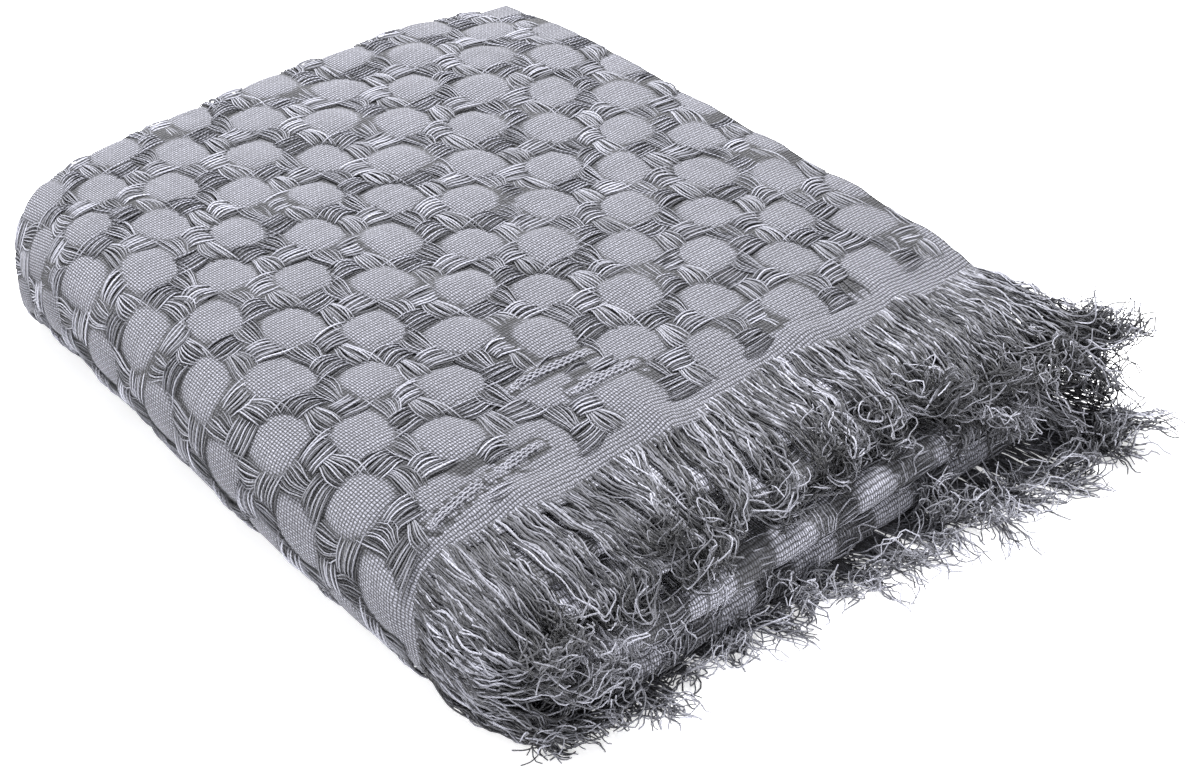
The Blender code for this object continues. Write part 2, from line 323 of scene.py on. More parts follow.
    def section(self, u: Array, v: Array) -> tuple[Array, ...]:
        """Where places lie in the section of the stack.

        Args:
            u, v: places of the cloth.

        Returns:
            x, the offset from the stack's middle, and both parts of the outer face's normal in that plane.
        """
        ends = self.parts(v)
        starts = [np.zeros(np.shape(v))] + ends[:-1]
        out, back = self.leg_values(v, "out"), self.leg_values(v, "back")
        radius = self.west_radius
        part = sum((u > end).astype(int) for end in ends[:-1])
        along = [u - start for start in starts]
        turn_west = np.pi / 2 + np.clip(along[1] / radius, 0, np.pi)
        lobe = (out + back + self.pitch) / 2
        turn_east = np.pi / 2 - np.pi * np.clip(along[3] / (ends[3] - starts[3]), 0, 1)
        reach = self.swell_reach
        x_middle = self.west + along[2]
        x_inner = self.east - along[4]
        swell_span = (self.east - reach, self.east - self.swell_end)
        rise = smoothstep(x_middle, *swell_span)
        fall = smoothstep(x_inner, *swell_span)
        zero = np.zeros(np.shape(u))
        x = (self.west + (ends[0] - u), self.west + radius * np.cos(turn_west), x_middle,
             self.east + self.lobe_depth * np.cos(turn_east), x_inner)
        offset = (
            self.pitch + zero,
            self.pitch - radius + radius * np.sin(turn_west),
            out * rise - self.west_swell * (1 - smoothstep(x_middle, self.west, self.west + reach)),
            (out - back - self.pitch) / 2 + lobe * np.sin(turn_east),
            -self.pitch - back * fall,
        )
        normal_x = (zero, np.cos(turn_west), zero, -lobe * np.cos(turn_east), zero)
        normal_o = (zero + 1, np.sin(turn_west), zero - 1, -self.lobe_depth * np.sin(turn_east), zero + 1)
        pick = [np.choose(part, np.broadcast_arrays(*choices)) for choices in (x, offset, normal_x, normal_o)]
        size = np.hypot(pick[2], pick[3])
        return pick[0], pick[1], pick[2] / size, pick[3] / size

    def path(self, v: Array) -> tuple[Array, Array]:
        """The path of the stack's middle over y and z.

        Args:
            v: places along it.

        Returns:
            The point and the outward normal at each place, as (y, z).
        """
        index = np.minimum(np.searchsorted(self.ends, v), len(self.legs) - 1)
        value = {key: values[index] for key, values in self.table.items()}
        along = v - self.path_knots[index]
        angle = value["start"] + value["turn"] * along / value["radius"]
        ray = np.stack([np.cos(angle), np.sin(angle)], axis=-1)
        base = np.stack([value["y"], value["z"]], axis=-1)
        straight = base + np.stack([value["heading"] * along, np.zeros_like(along)], axis=-1)
        turned = (value["turn"] != 0)[..., None]
        up = np.stack([np.zeros_like(along), -value["heading"].astype(float)], axis=-1)
        point = np.where(turned, base + value["radius"][..., None] * ray, straight)
        return point, np.where(turned, value["turn"][..., None] * ray, up)

    def settle(self, points: Array) -> Array:
        """Moves points of the even folded throw to where the soft, uneven one has them, over the origin.

        Args:
            points: places in the even throw.

        Returns:
            The same places in the throw as it lies.
        """
        x, y, z = (points[..., axis] for axis in range(3))
        across = (y - (self.south_side + self.north_side) / 2) / ((self.north_side - self.south_side) / 2)
        slip = self.end_slip * (1 - smoothstep(z, *self.slip_heights))
        least_x, least_y = self.slip_least
        slip = slip * (least_x + (1 - least_x) * smoothstep(x, *self.slip_along_x))
        along_y = (self.south_side, self.south_side + self.slip_along_y)
        slip = slip * (least_y + (1 - least_y) * smoothstep(y, *along_y))
        to_west = smoothstep(x, *self.west_span)
        to_south = np.maximum(-across, 0.0)
        bow = (self.west_bow * across**2 + self.south_bow * to_south**8) * to_west
        taper = self.south_taper * to_south * smoothstep(x, *self.taper_span)
        end = np.maximum(to_west, self.east_sag_share * smoothstep(x, *self.east_span))
        sag = self.end_sag * end + self.north_sag * smoothstep(across, *self.north_span)
        proud = self.proud * smoothstep(across, *self.proud_across) * smoothstep(x, *self.proud_along)
        sag = sag + self.corner_sag * end * smoothstep(np.abs(across), *self.corner_span) * (1 - proud)
        sag = sag + self.end_roll * smoothstep(x, *self.roll_along) * smoothstep(z, *self.roll_heights)
        (rate_x, phase_x), (rate_y, phase_y) = self.swell_waves
        swell = self.swell_share * np.sin(rate_x * x + phase_x) * np.sin(rate_y * y + phase_y)
        height = self.solid_sheet / 2 + (z - self.pitch / 2) * (1 - sag + swell)
        return np.stack(
            [x + slip + bow - self.centre[0], y + taper - self.plan_skew * x - self.centre[1], height], axis=-1
        )

    def lay(self, u: Array, v: Array, lift: Array | float = 0.0) -> Array:
        """Points over places of the cloth.

        Args:
            u, v: places of the cloth.
            lift: how far off the cloth's middle, to its outer face's side.

        Returns:
            The points, in metres.
        """
        u, v, lift = np.broadcast_arrays(np.asarray(u, float), np.asarray(v, float), np.asarray(lift, float))
        x, offset, normal_x, normal_o = self.section(u, v)
        centre, normal = self.path(v)
        across = centre + (offset + lift * normal_o)[..., None] * normal
        return self.settle(np.concatenate([(x + lift * normal_x)[..., None], across], axis=-1))


@dataclass
class Tuck:
    """A long raised cord of weft yarns that replaces the pattern over a few blocks."""

    start: Span
    end: Span

    def distance(self, i: Array, j: Array) -> Array:
        """How far places of the weave are from the cord.

        Args:
            i, j: places of the weave, in steps along the warp and the weft.

        Returns:
            The distances, in steps.
        """
        a, b = np.array(self.start), np.array(self.end)
        line = b - a
        share = np.clip(((i - a[0]) * line[0] + (j - a[1]) * line[1]) / (line @ line), 0, 1)
        return np.hypot(i - a[0] - share * line[0], j - a[1] - share * line[1])


@dataclass
class Weave:
    """The woven repeat: plain pads on one half of a chequer, blocks of loose floats on the other.

    Places are (i, j) in steps of the repeat, i along the warp towards the outer fringe and j along the weft.
    """

    shape: FoldShape
    warp_step: float = 0.0325
    weft_step: float = 0.0304
    pad_radius: float = 0.485
    pad_power: float = 2.8
    pad_height: float = 0.0006
    pad_crown: float = 0.0003
    pad_dome: Span = (0.60, 1.20)
    ground: float = -0.0003
    # The hand of the weave: how far the repeat strays, in steps, over how many, and how uneven the ground is.
    stray: float = 0.055
    stray_scale: float = 2.6
    stray_seeds: tuple[int, int] = (3, 4)
    uneven: float = 0.0009
    uneven_rates: Span = (0.9, 0.9)
    uneven_seed: int = 12
    # The plain band beside the fringe.
    band_start: float = 3.42
    band_blend: float = 0.22
    band_lead: float = 0.10
    band_uneven: float = 0.0010
    band_rates: Span = (1.3, 0.9)
    band_seed: int = 11
    # How open the ground is, which sets painted shade in the sheet's colour: 1 and over lies under floats,
    # where the colour gets painted shade, and in a ring beside each tuck, a painted shadow of its furrow; below
    # 1 is woven closely.
    closed: float = 0.5
    most_open: float = 1.25
    tuck_furrow_painted_shade: float = 1.2
    tuck_closed_reach: float = 0.24
    tuck_furrow_painted_ring: Span = (0.135, 0.055)
    tuck_height: float = 0.0014
    tuck_rise: Span = (0.03, 0.15)
    tuck_calm: float = 0.6
    tuck_calm_reach: Span = (0.10, 0.35)
    tucks: tuple[Tuck, ...] = (
        Tuck((1.70, 1.60), (1.76, 3.25)),
        Tuck((2.40, 2.25), (2.46, 3.66)),
        Tuck((3.24, -1.51), (3.06, -0.23)),
        Tuck((3.09, -0.19), (2.99, 0.97)),
    )

    def steps(self, u: Array, v: Array) -> tuple[Array, Array]:
        """Places of the repeat from places of the cloth.

        Args:
            u, v: places of the cloth.

        Returns:
            (i, j) of each.
        """
        x = self.shape.outer_edge(v) - u
        weft = np.interp(v, self.shape.path_knots, self.shape.weft_knots)
        return x / self.warp_step, (self.shape.top_start - weft - self.shape.plan_skew * x) / self.weft_step

    def place(self, i: Array, j: Array) -> tuple[Array, Array]:
        """Places of the cloth from places of the repeat.

        Args:
            i, j: places of the weave, in steps along the warp and the weft.

        Returns:
            (u, v) of each.
        """
        x = i * self.warp_step
        weft = self.shape.top_start - self.shape.plan_skew * x - j * self.weft_step
        v = np.interp(weft, self.shape.weft_knots, self.shape.path_knots)
        return self.shape.outer_edge(v) - x, v

    def wander(self, i: Array, j: Array) -> tuple[Array, Array]:
        """How far the repeat strays from its even place, along the warp and along the weft."""
        places = np.stack(np.broadcast_arrays(i, j), axis=-1) / self.stray_scale
        first, second = self.stray_seeds
        return self.stray * soft_noise(places, first), self.stray * soft_noise(places, second)

    def pad(self, i: Array, j: Array) -> Array:
        """How far places are from the middle of the nearest pad.

        Args:
            i, j: places of the weave, in steps along the warp and the weft.

        Returns:
            The distances, 1 at a pad's rim.
        """
        di, dj = self.wander(i, j)
        i, j = i - di, j - dj
        p, q = np.round((i + j) / 2), np.round((i - j) / 2)
        a, b = np.abs(i - p - q), np.abs(j - p + q)
        return (a**self.pad_power + b**self.pad_power) ** (1 / self.pad_power) / self.pad_radius

    def painted_gap_mask(self, i: Array, j: Array, shown: Array) -> Array:
        """How open the ground is, which sets where the sheet's colour gets painted shade.

        Args:
            i, j: places of the weave, in steps along the warp and the weft.
            shown: 1 on cloth that shows, 0 between the plies.

        Returns:
            Below 1 on closely woven ground, and over 1 under the floats and in a ring beside a tuck, where the
            colour gets painted shade.
        """
        value = np.minimum(self.pad(i, j), self.most_open)
        value = np.where(i > self.band_start - self.band_lead, self.closed, value)
        ring, half = self.tuck_furrow_painted_ring
        for tuck in self.tucks:
            away = tuck.distance(i, j)
            value = np.where(away < self.tuck_closed_reach, self.closed, value)
            # Painted shadow of the furrows beside the tuck's cord.
            value = np.where(np.abs(away - ring) < half, self.tuck_furrow_painted_shade, value)
        return self.closed + (value - self.closed) * np.clip(shown, 0.0, 1.0)

    def relief(self, i: Array, j: Array) -> Array:
        """How far the woven ground stands off the cloth's even face.

        Args:
            i, j: places of the weave, in steps along the warp and the weft.

        Returns:
            The heights, in metres.
        """
        radius = self.pad(i, j)
        dome = 1 - smoothstep(radius, *self.pad_dome)
        height = self.ground + (self.pad_height - self.ground) * dome
        height = height + self.pad_crown * (1 - np.minimum(radius, 1.0) ** 2)
        places = np.stack([i, j], axis=-1)
        height = height + self.uneven * soft_noise(places * self.uneven_rates, self.uneven_seed)
        band = smoothstep(i, self.band_start, self.band_start + self.band_blend)
        band_height = self.band_uneven * soft_noise(places * self.band_rates, self.band_seed)
        height = height * (1 - band) + band_height * band
        for tuck in self.tucks:
            away = tuck.distance(i, j)
            near = 1 - smoothstep(away, *self.tuck_calm_reach)
            height = height * (1 - self.tuck_calm * near)
            height = height + self.tuck_height * (1 - smoothstep(away, *self.tuck_rise))
        return height


@dataclass
class FloatBundle:
    """One bundle of floats in a quarter of a float block."""

    centre: tuple[int, int]
    lie: Lie
    side: tuple[int, int]


@dataclass
class Region:
    """A part of the cloth that shows, on one of its faces."""

    face: Face
    u_parts: Span
    v_range: Span

    def holds(self, part: Array, v: Array) -> Array:
        """Whether places, along the section in its stretches and across the cloth, are in the region."""
        return (
            (part >= self.u_parts[0]) & (part <= self.u_parts[1])
            & (v >= self.v_range[0]) & (v <= self.v_range[1])
        )


class NodeSheet:
    """A material's node tree, with short ways to add to it."""

    def __init__(self, name: str) -> None:
        """Starts a material with its principled shader."""
        self.material = bpy.data.materials.new(name)
        self.material.use_nodes = True
        self.tree = self.material.node_tree
        self.shader = self.tree.nodes["Principled BSDF"]

    def add(self, kind: str, **settings: object) -> bpy.types.Node:
        """Adds a node of a kind and sets its properties."""
        node = self.tree.nodes.new(kind)
        for key, value in settings.items():
            setattr(node, key, value)
        return node

    def join(self, value: object, socket: Socket) -> None:
        """Links an output to a socket, or sets the socket to a number or colour."""
        if isinstance(value, Socket):
            self.tree.links.new(value, socket)
        else:
            socket.default_value = value

    def set(self, values: dict[str, object]) -> None:
        """Joins values to inputs of the shader, by name."""
        for name, value in values.items():
            self.join(value, self.shader.inputs[name])

    def split(self, uv_map: str) -> tuple[Socket, ...]:
        """Reads a UV map: its vector, and the vector's first and second parts."""
        vector = self.add("ShaderNodeUVMap", uv_map=uv_map).outputs[0]
        parts = self.add("ShaderNodeSeparateXYZ")
        self.join(vector, parts.inputs[0])
        return vector, parts.outputs[0], parts.outputs[1]

    def attribute(self, name: str) -> Socket:
        """Reads a value that the mesh holds at each point."""
        return self.add("ShaderNodeAttribute", attribute_name=name).outputs["Fac"]

    def math(self, operation: str, first: object, second: object = 0.5) -> Socket:
        """A Math node's result."""
        node = self.add("ShaderNodeMath", operation=operation)
        self.join(first, node.inputs[0])
        self.join(second, node.inputs[1])
        return node.outputs[0]

    def product(self, first: object, *others: object) -> object:
        """Values multiplied one after another."""
        for other in others:
            first = self.math("MULTIPLY", first, other)
        return first

    def noise(
        self, vector: object, scale: float, detail: float = 2.0, roughness: float = 0.5
    ) -> Socket:
        """A noise texture's value on a vector."""
        node = self.add("ShaderNodeTexNoise")
        for name, value in (("Vector", vector), ("Scale", scale), ("Detail", detail), ("Roughness", roughness)):
            self.join(value, node.inputs[name])
        return node.outputs[0]

    def streaks(self, vector: object, rates: Vector, detail: float = 1.0) -> Socket:
        """Noise stretched by different rates along a vector's parts."""
        node = self.add("ShaderNodeVectorMath", operation="MULTIPLY")
        self.join(vector, node.inputs[0])
        node.inputs[1].default_value = rates
        return self.noise(node.outputs[0], 1.0, detail)

    def span(self, value: object, old: Span, new: Span) -> Socket:
        """A value moved from one range to another and held to it."""
        node = self.add("ShaderNodeMapRange")
        for part, socket in zip((value, *old, *new), node.inputs):
            self.join(part, socket)
        return node.outputs[0]

    def shade(self, colour: Colour, factor: object) -> Socket:
        """A colour times a value."""
        node = self.add("ShaderNodeVectorMath", operation="SCALE")
        node.inputs[0].default_value = colour
        self.join(factor, node.inputs["Scale"])
        return node.outputs[0]

    def bump(self, height: object, distance: float, strength: float) -> Socket:
        """A Bump node's normal."""
        node = self.add("ShaderNodeBump")
        for name, value in (("Distance", distance), ("Strength", strength), ("Height", height)):
            self.join(value, node.inputs[name])
        return node.outputs[0]


NOISE_BODY = (0.25, 0.75)  # the range that most of a noise texture's values lie in


@dataclass(frozen=True)
class PlainWeaveFinish:
    """The ground of the cloth: washed grey cotton, plain woven from uneven yarns."""

    name: str = "woven_cotton"
    colour: Colour = (0.219, 0.221, 0.260)
    roughness: float = 0.92
    specular: float = 0.25
    sheen: float = 0.12
    sheen_roughness: float = 0.5
    # Picks and ends in a step of the repeat, how round they are, and how the picks stray.
    pick_rate: float = 15.0
    end_rate: float = 20.0
    rib_power: float = 0.7
    stray: float = 0.28
    stray_rate: float = 9.0
    # The relief: how much one crossing of two differs from the next, the fuzz, and the depth in metres.
    over_share: float = 0.20
    fuzz_share: float = 0.5
    fuzz_rate: float = 160.0
    weave_depth: float = 0.0019
    bump: float = 0.9
    # Shades: of the ends, of the picks and of whole patches, at random, and of the relief, painted shade in its
    # hollows and painted highlight on its tops.
    end_rates: Vector = (0.5, 21.0, 1.0)
    end_shades: Span = (0.90, 1.10)
    pick_rates: Vector = (16.0, 0.6, 1.0)
    pick_shades: Span = (0.88, 1.12)
    patch_rate: float = 0.8
    patch_range: Span = (0.3, 0.7)
    patch_shades: Span = (0.94, 1.06)
    relief: Span = (0.26, 1.30)
    relief_painted_shades: Span = (0.02, 1.58)
    # The rim of a pad: how ragged it is, and the painted shade of the open ground past it, under the floats and
    # beside the tucks.
    rim_stray: float = 0.08
    rim: Span = (0.96, 1.16)
    gap_painted_shade: float = 0.22

    def material(self) -> Material:
        """Makes the finish."""
        sheet = NodeSheet(self.name)
        uv, warp, weft = sheet.split("weave")
        stray = sheet.span(sheet.noise(uv, self.stray_rate), (0.2, 0.8), (-self.stray, self.stray))
        picks = sheet.math("ADD", sheet.product(warp, self.pick_rate), stray)
        ends = sheet.product(weft, self.end_rate)
        waves = [sheet.math("SINE", sheet.product(place, math.pi)) for place in (picks, ends)]
        ribs = [sheet.math("POWER", sheet.math("ABSOLUTE", wave), self.rib_power) for wave in waves]
        height = sheet.math("ADD", sheet.product(*ribs), sheet.product(*waves, self.over_share))
        fuzz = sheet.noise(uv, self.fuzz_rate, 3.0, 0.65)
        height = sheet.math("ADD", height, sheet.product(fuzz, self.fuzz_share))
        end_tone = sheet.streaks(uv, self.end_rates)
        pick_tone = sheet.streaks(uv, self.pick_rates)
        # Painted shade: past a pad's rim, under the floats and beside the tucks, the ground is darkened.
        rim = sheet.attribute("pad")
        for streak in (end_tone, pick_tone):
            rim = sheet.math("ADD", rim, sheet.span(streak, NOISE_BODY, (-self.rim_stray, self.rim_stray)))
        # The tone holds painted shade in the relief's hollows and painted highlight on its tops.
        tone = sheet.product(
            sheet.span(end_tone, NOISE_BODY, self.end_shades),
            sheet.span(pick_tone, NOISE_BODY, self.pick_shades),
            sheet.span(sheet.noise(uv, self.patch_rate), self.patch_range, self.patch_shades),
            sheet.span(height, self.relief, self.relief_painted_shades),
            sheet.span(rim, self.rim, (1.0, self.gap_painted_shade)),
            # Painted light on the inner face, which shows in the folds.
            sheet.attribute("shade"),
        )
        sheet.set({
            "Base Color": sheet.shade(self.colour, tone),
            "Normal": sheet.bump(height, self.weave_depth, self.bump),
            "Roughness": self.roughness,
            "Specular IOR Level": self.specular,
            "Sheen Weight": self.sheen,
            "Sheen Roughness": self.sheen_roughness,
        })
        return sheet.material


@dataclass(frozen=True)
class YarnFinish:
    """A loose yarn: soft plied cotton, a little different from yarn to yarn."""

    name: str
    colour: Colour
    spread: float
    turn_length: float = 0.0028
    # The twist's grooves get painted shade and its crests painted highlight.
    ply_painted_shades: Span = (0.82, 1.12)
    fuzz_rates: Vector = (900.0, 3.0, 1.0)
    fuzz_shades: Span = (0.88, 1.10)
    depth: float = 0.0003
    bump: float = 0.6
    roughness: float = 0.9
    specular: float = 0.25
    sheen: float = 0.12

    def material(self) -> Material:
        """Makes the finish."""
        sheet = NodeSheet(self.name)
        uv, along, around = sheet.split("yarn")
        turns = sheet.product(along, TURN / self.turn_length)
        twist = sheet.math("SINE", sheet.math("ADD", turns, sheet.product(around, 4 * math.pi)))
        fuzz = sheet.streaks(uv, self.fuzz_rates, 2.0)
        tone = sheet.product(
            sheet.span(sheet.attribute("tone"), (0.0, 1.0), (1 - self.spread, 1 + self.spread)),
            sheet.span(twist, (-1.0, 1.0), self.ply_painted_shades),
            sheet.span(fuzz, NOISE_BODY, self.fuzz_shades),
        )
        sheet.set({
            "Base Color": sheet.shade(self.colour, tone),
            "Normal": sheet.bump(sheet.math("ADD", twist, fuzz), self.depth, self.bump),
            "Roughness": self.roughness,
            "Specular IOR Level": self.specular,
            "Sheen Weight": self.sheen,
        })
        return sheet.material


@dataclass(frozen=True)
class PaleFloorFinish:
    """A plain white studio floor that glows a little."""

    name: str = "studio_floor"
    colour: Colour = (0.93, 0.93, 0.935)
    roughness: float = 0.8
    specular: float = 0.1
    glow: float = 0.50

    def material(self) -> Material:
        """Makes the finish."""
        sheet = NodeSheet(self.name)
        sheet.set({
            "Base Color": (*self.colour, 1.0),
            "Roughness": self.roughness,
            "Specular IOR Level": self.specular,
            "Emission Color": (1.0, 1.0, 1.0, 1.0),
            "Emission Strength": self.glow,
        })
        return sheet.material


@dataclass
class YarnSweep:
    """Turns the centre lines of many yarns into round yarns, with a node tree."""

    name: str = "yarn_sweep"
    tree: bpy.types.NodeTree | None = None
    sockets: dict[str, str] = field(default_factory=dict)

    def build(self) -> None:
        """Builds the tree: lines to curves, a ring of the yarn's thickness along each, and the finish."""
        tree = bpy.data.node_groups.new(self.name, "GeometryNodeTree")
        face = tree.interface
        face.new_socket("Geometry", in_out="INPUT", socket_type="NodeSocketGeometry")
        for label, kind in (("Sides", "Int"), ("Thickness", "Float"), ("Finish", "Material")):
            socket = face.new_socket(label, in_out="INPUT", socket_type="NodeSocket" + kind)
            self.sockets[label] = socket.identifier
        face.new_socket("Geometry", in_out="OUTPUT", socket_type="NodeSocketGeometry")
        nodes, links = tree.nodes, tree.links
        given, made = nodes.new("NodeGroupInput"), nodes.new("NodeGroupOutput")
        curves = nodes.new("GeometryNodeMeshToCurve")
        along = self._store(tree, "along", nodes.new("GeometryNodeSplineParameter").outputs["Length"])
        ring = nodes.new("GeometryNodeCurvePrimitiveCircle")
        ring.inputs["Radius"].default_value = 0.5
        around = self._store(tree, "around", nodes.new("GeometryNodeSplineParameter").outputs["Factor"])
        size = nodes.new("ShaderNodeMath")
        size.operation = "MULTIPLY"
        sweep = nodes.new("GeometryNodeCurveToMesh")
        sweep.inputs["Fill Caps"].default_value = True
        pair = nodes.new("ShaderNodeCombineXYZ")
        uv = self._store(tree, "yarn", pair.outputs[0], "FLOAT2", "CORNER")
        smooth = nodes.new("GeometryNodeSetShadeSmooth")
        real = nodes.new("GeometryNodeRealizeInstances")
        coat = nodes.new("GeometryNodeSetMaterial")
        for source, target in (
            (given.outputs["Geometry"], curves.inputs["Mesh"]),
            (curves.outputs["Curve"], along.inputs["Geometry"]),
            (given.outputs["Sides"], ring.inputs["Resolution"]),
            (ring.outputs["Curve"], around.inputs["Geometry"]),
            (self._read(tree, "girth"), size.inputs[0]),
            (given.outputs["Thickness"], size.inputs[1]),
            (along.outputs["Geometry"], sweep.inputs["Curve"]),
            (around.outputs["Geometry"], sweep.inputs["Profile Curve"]),
            (size.outputs[0], sweep.inputs["Scale"]),
            (self._read(tree, "along"), pair.inputs[0]),
            (self._read(tree, "around"), pair.inputs[1]),
            (given.outputs["Finish"], coat.inputs["Material"]),
        ):
            links.new(source, target)
        chain = (sweep, uv, smooth, real, coat, made)
        for first, second in zip(chain, chain[1:]):
            links.new(first.outputs[0], second.inputs["Geometry"])
        self.tree = tree

    @staticmethod
    def _store(
        tree: bpy.types.NodeTree, name: str, value: Socket, kind: str = "FLOAT", domain: str = "POINT"
    ) -> bpy.types.Node:
        """Adds a node that stores a value under a name.

        Args:
            tree: the tree it goes into.
            name: the name.
            value: the value's output.
            kind: what kind of value it is.
            domain: what the value is stored on.

        Returns:
            The node.
        """
        node = tree.nodes.new("GeometryNodeStoreNamedAttribute")
        node.data_type, node.domain = kind, domain
        node.inputs["Name"].default_value = name
        tree.links.new(value, node.inputs["Value"])
        return node

    @staticmethod
    def _read(tree: bpy.types.NodeTree, name: str) -> Socket:
        """Adds a node that reads a stored value."""
        node = tree.nodes.new("GeometryNodeInputNamedAttribute")
        node.data_type = "FLOAT"
        node.inputs["Name"].default_value = name
        return node.outputs["Attribute"]

    def sweep(
        self, name: str, lines: Array, girth: Array, tone: Array, thickness: float,
        finish: Material, sides: int = 3,
    ) -> Piece:
        """Makes one piece of many yarns.

        Args:
            name: the piece's name.
            lines: centre lines, yarns by points by three.
            girth: share of the thickness at each point.
            tone: shade at each point, from 0 to 1.
            thickness: the yarns' thickness in metres.
            finish: their material.
            sides: how many sides a yarn's ring has.

        Returns:
            The piece, a plain mesh in the scene.
        """
        if self.tree is None:
            self.build()
        yarns, count = lines.shape[:2]
        index = np.arange(yarns * count).reshape(yarns, count)
        edges = np.stack([index[:, :-1].ravel(), index[:, 1:].ravel()], axis=-1)
        mesh = bpy.data.meshes.new(name + "_lines")
        mesh.vertices.add(yarns * count)
        mesh.vertices.foreach_set("co", lines.astype(np.float32).ravel())
        mesh.edges.add(len(edges))
        mesh.edges.foreach_set("vertices", edges.astype(np.int32).ravel())
        for label, value in (("girth", girth), ("tone", tone)):
            attribute = mesh.attributes.new(label, "FLOAT", "POINT")
            value = np.broadcast_to(value, (yarns, count)).astype(np.float32)
            attribute.data.foreach_set("value", value.ravel())
        carrier = added(name + "_lines", mesh)
        modifier = carrier.modifiers.new(self.name, "NODES")
        modifier.node_group = self.tree
        modifier[self.sockets["Sides"]] = sides
        modifier[self.sockets["Thickness"]] = thickness
        modifier[self.sockets["Finish"]] = finish
        bpy.context.view_layer.update()
        solid = bpy.data.meshes.new_from_object(carrier.evaluated_get(bpy.context.evaluated_depsgraph_get()))
        solid.name = name
        piece = added(name, solid)
        carrier.modifiers.remove(modifier)
        bpy.data.objects.remove(carrier)
        bpy.data.meshes.remove(mesh)
        return piece


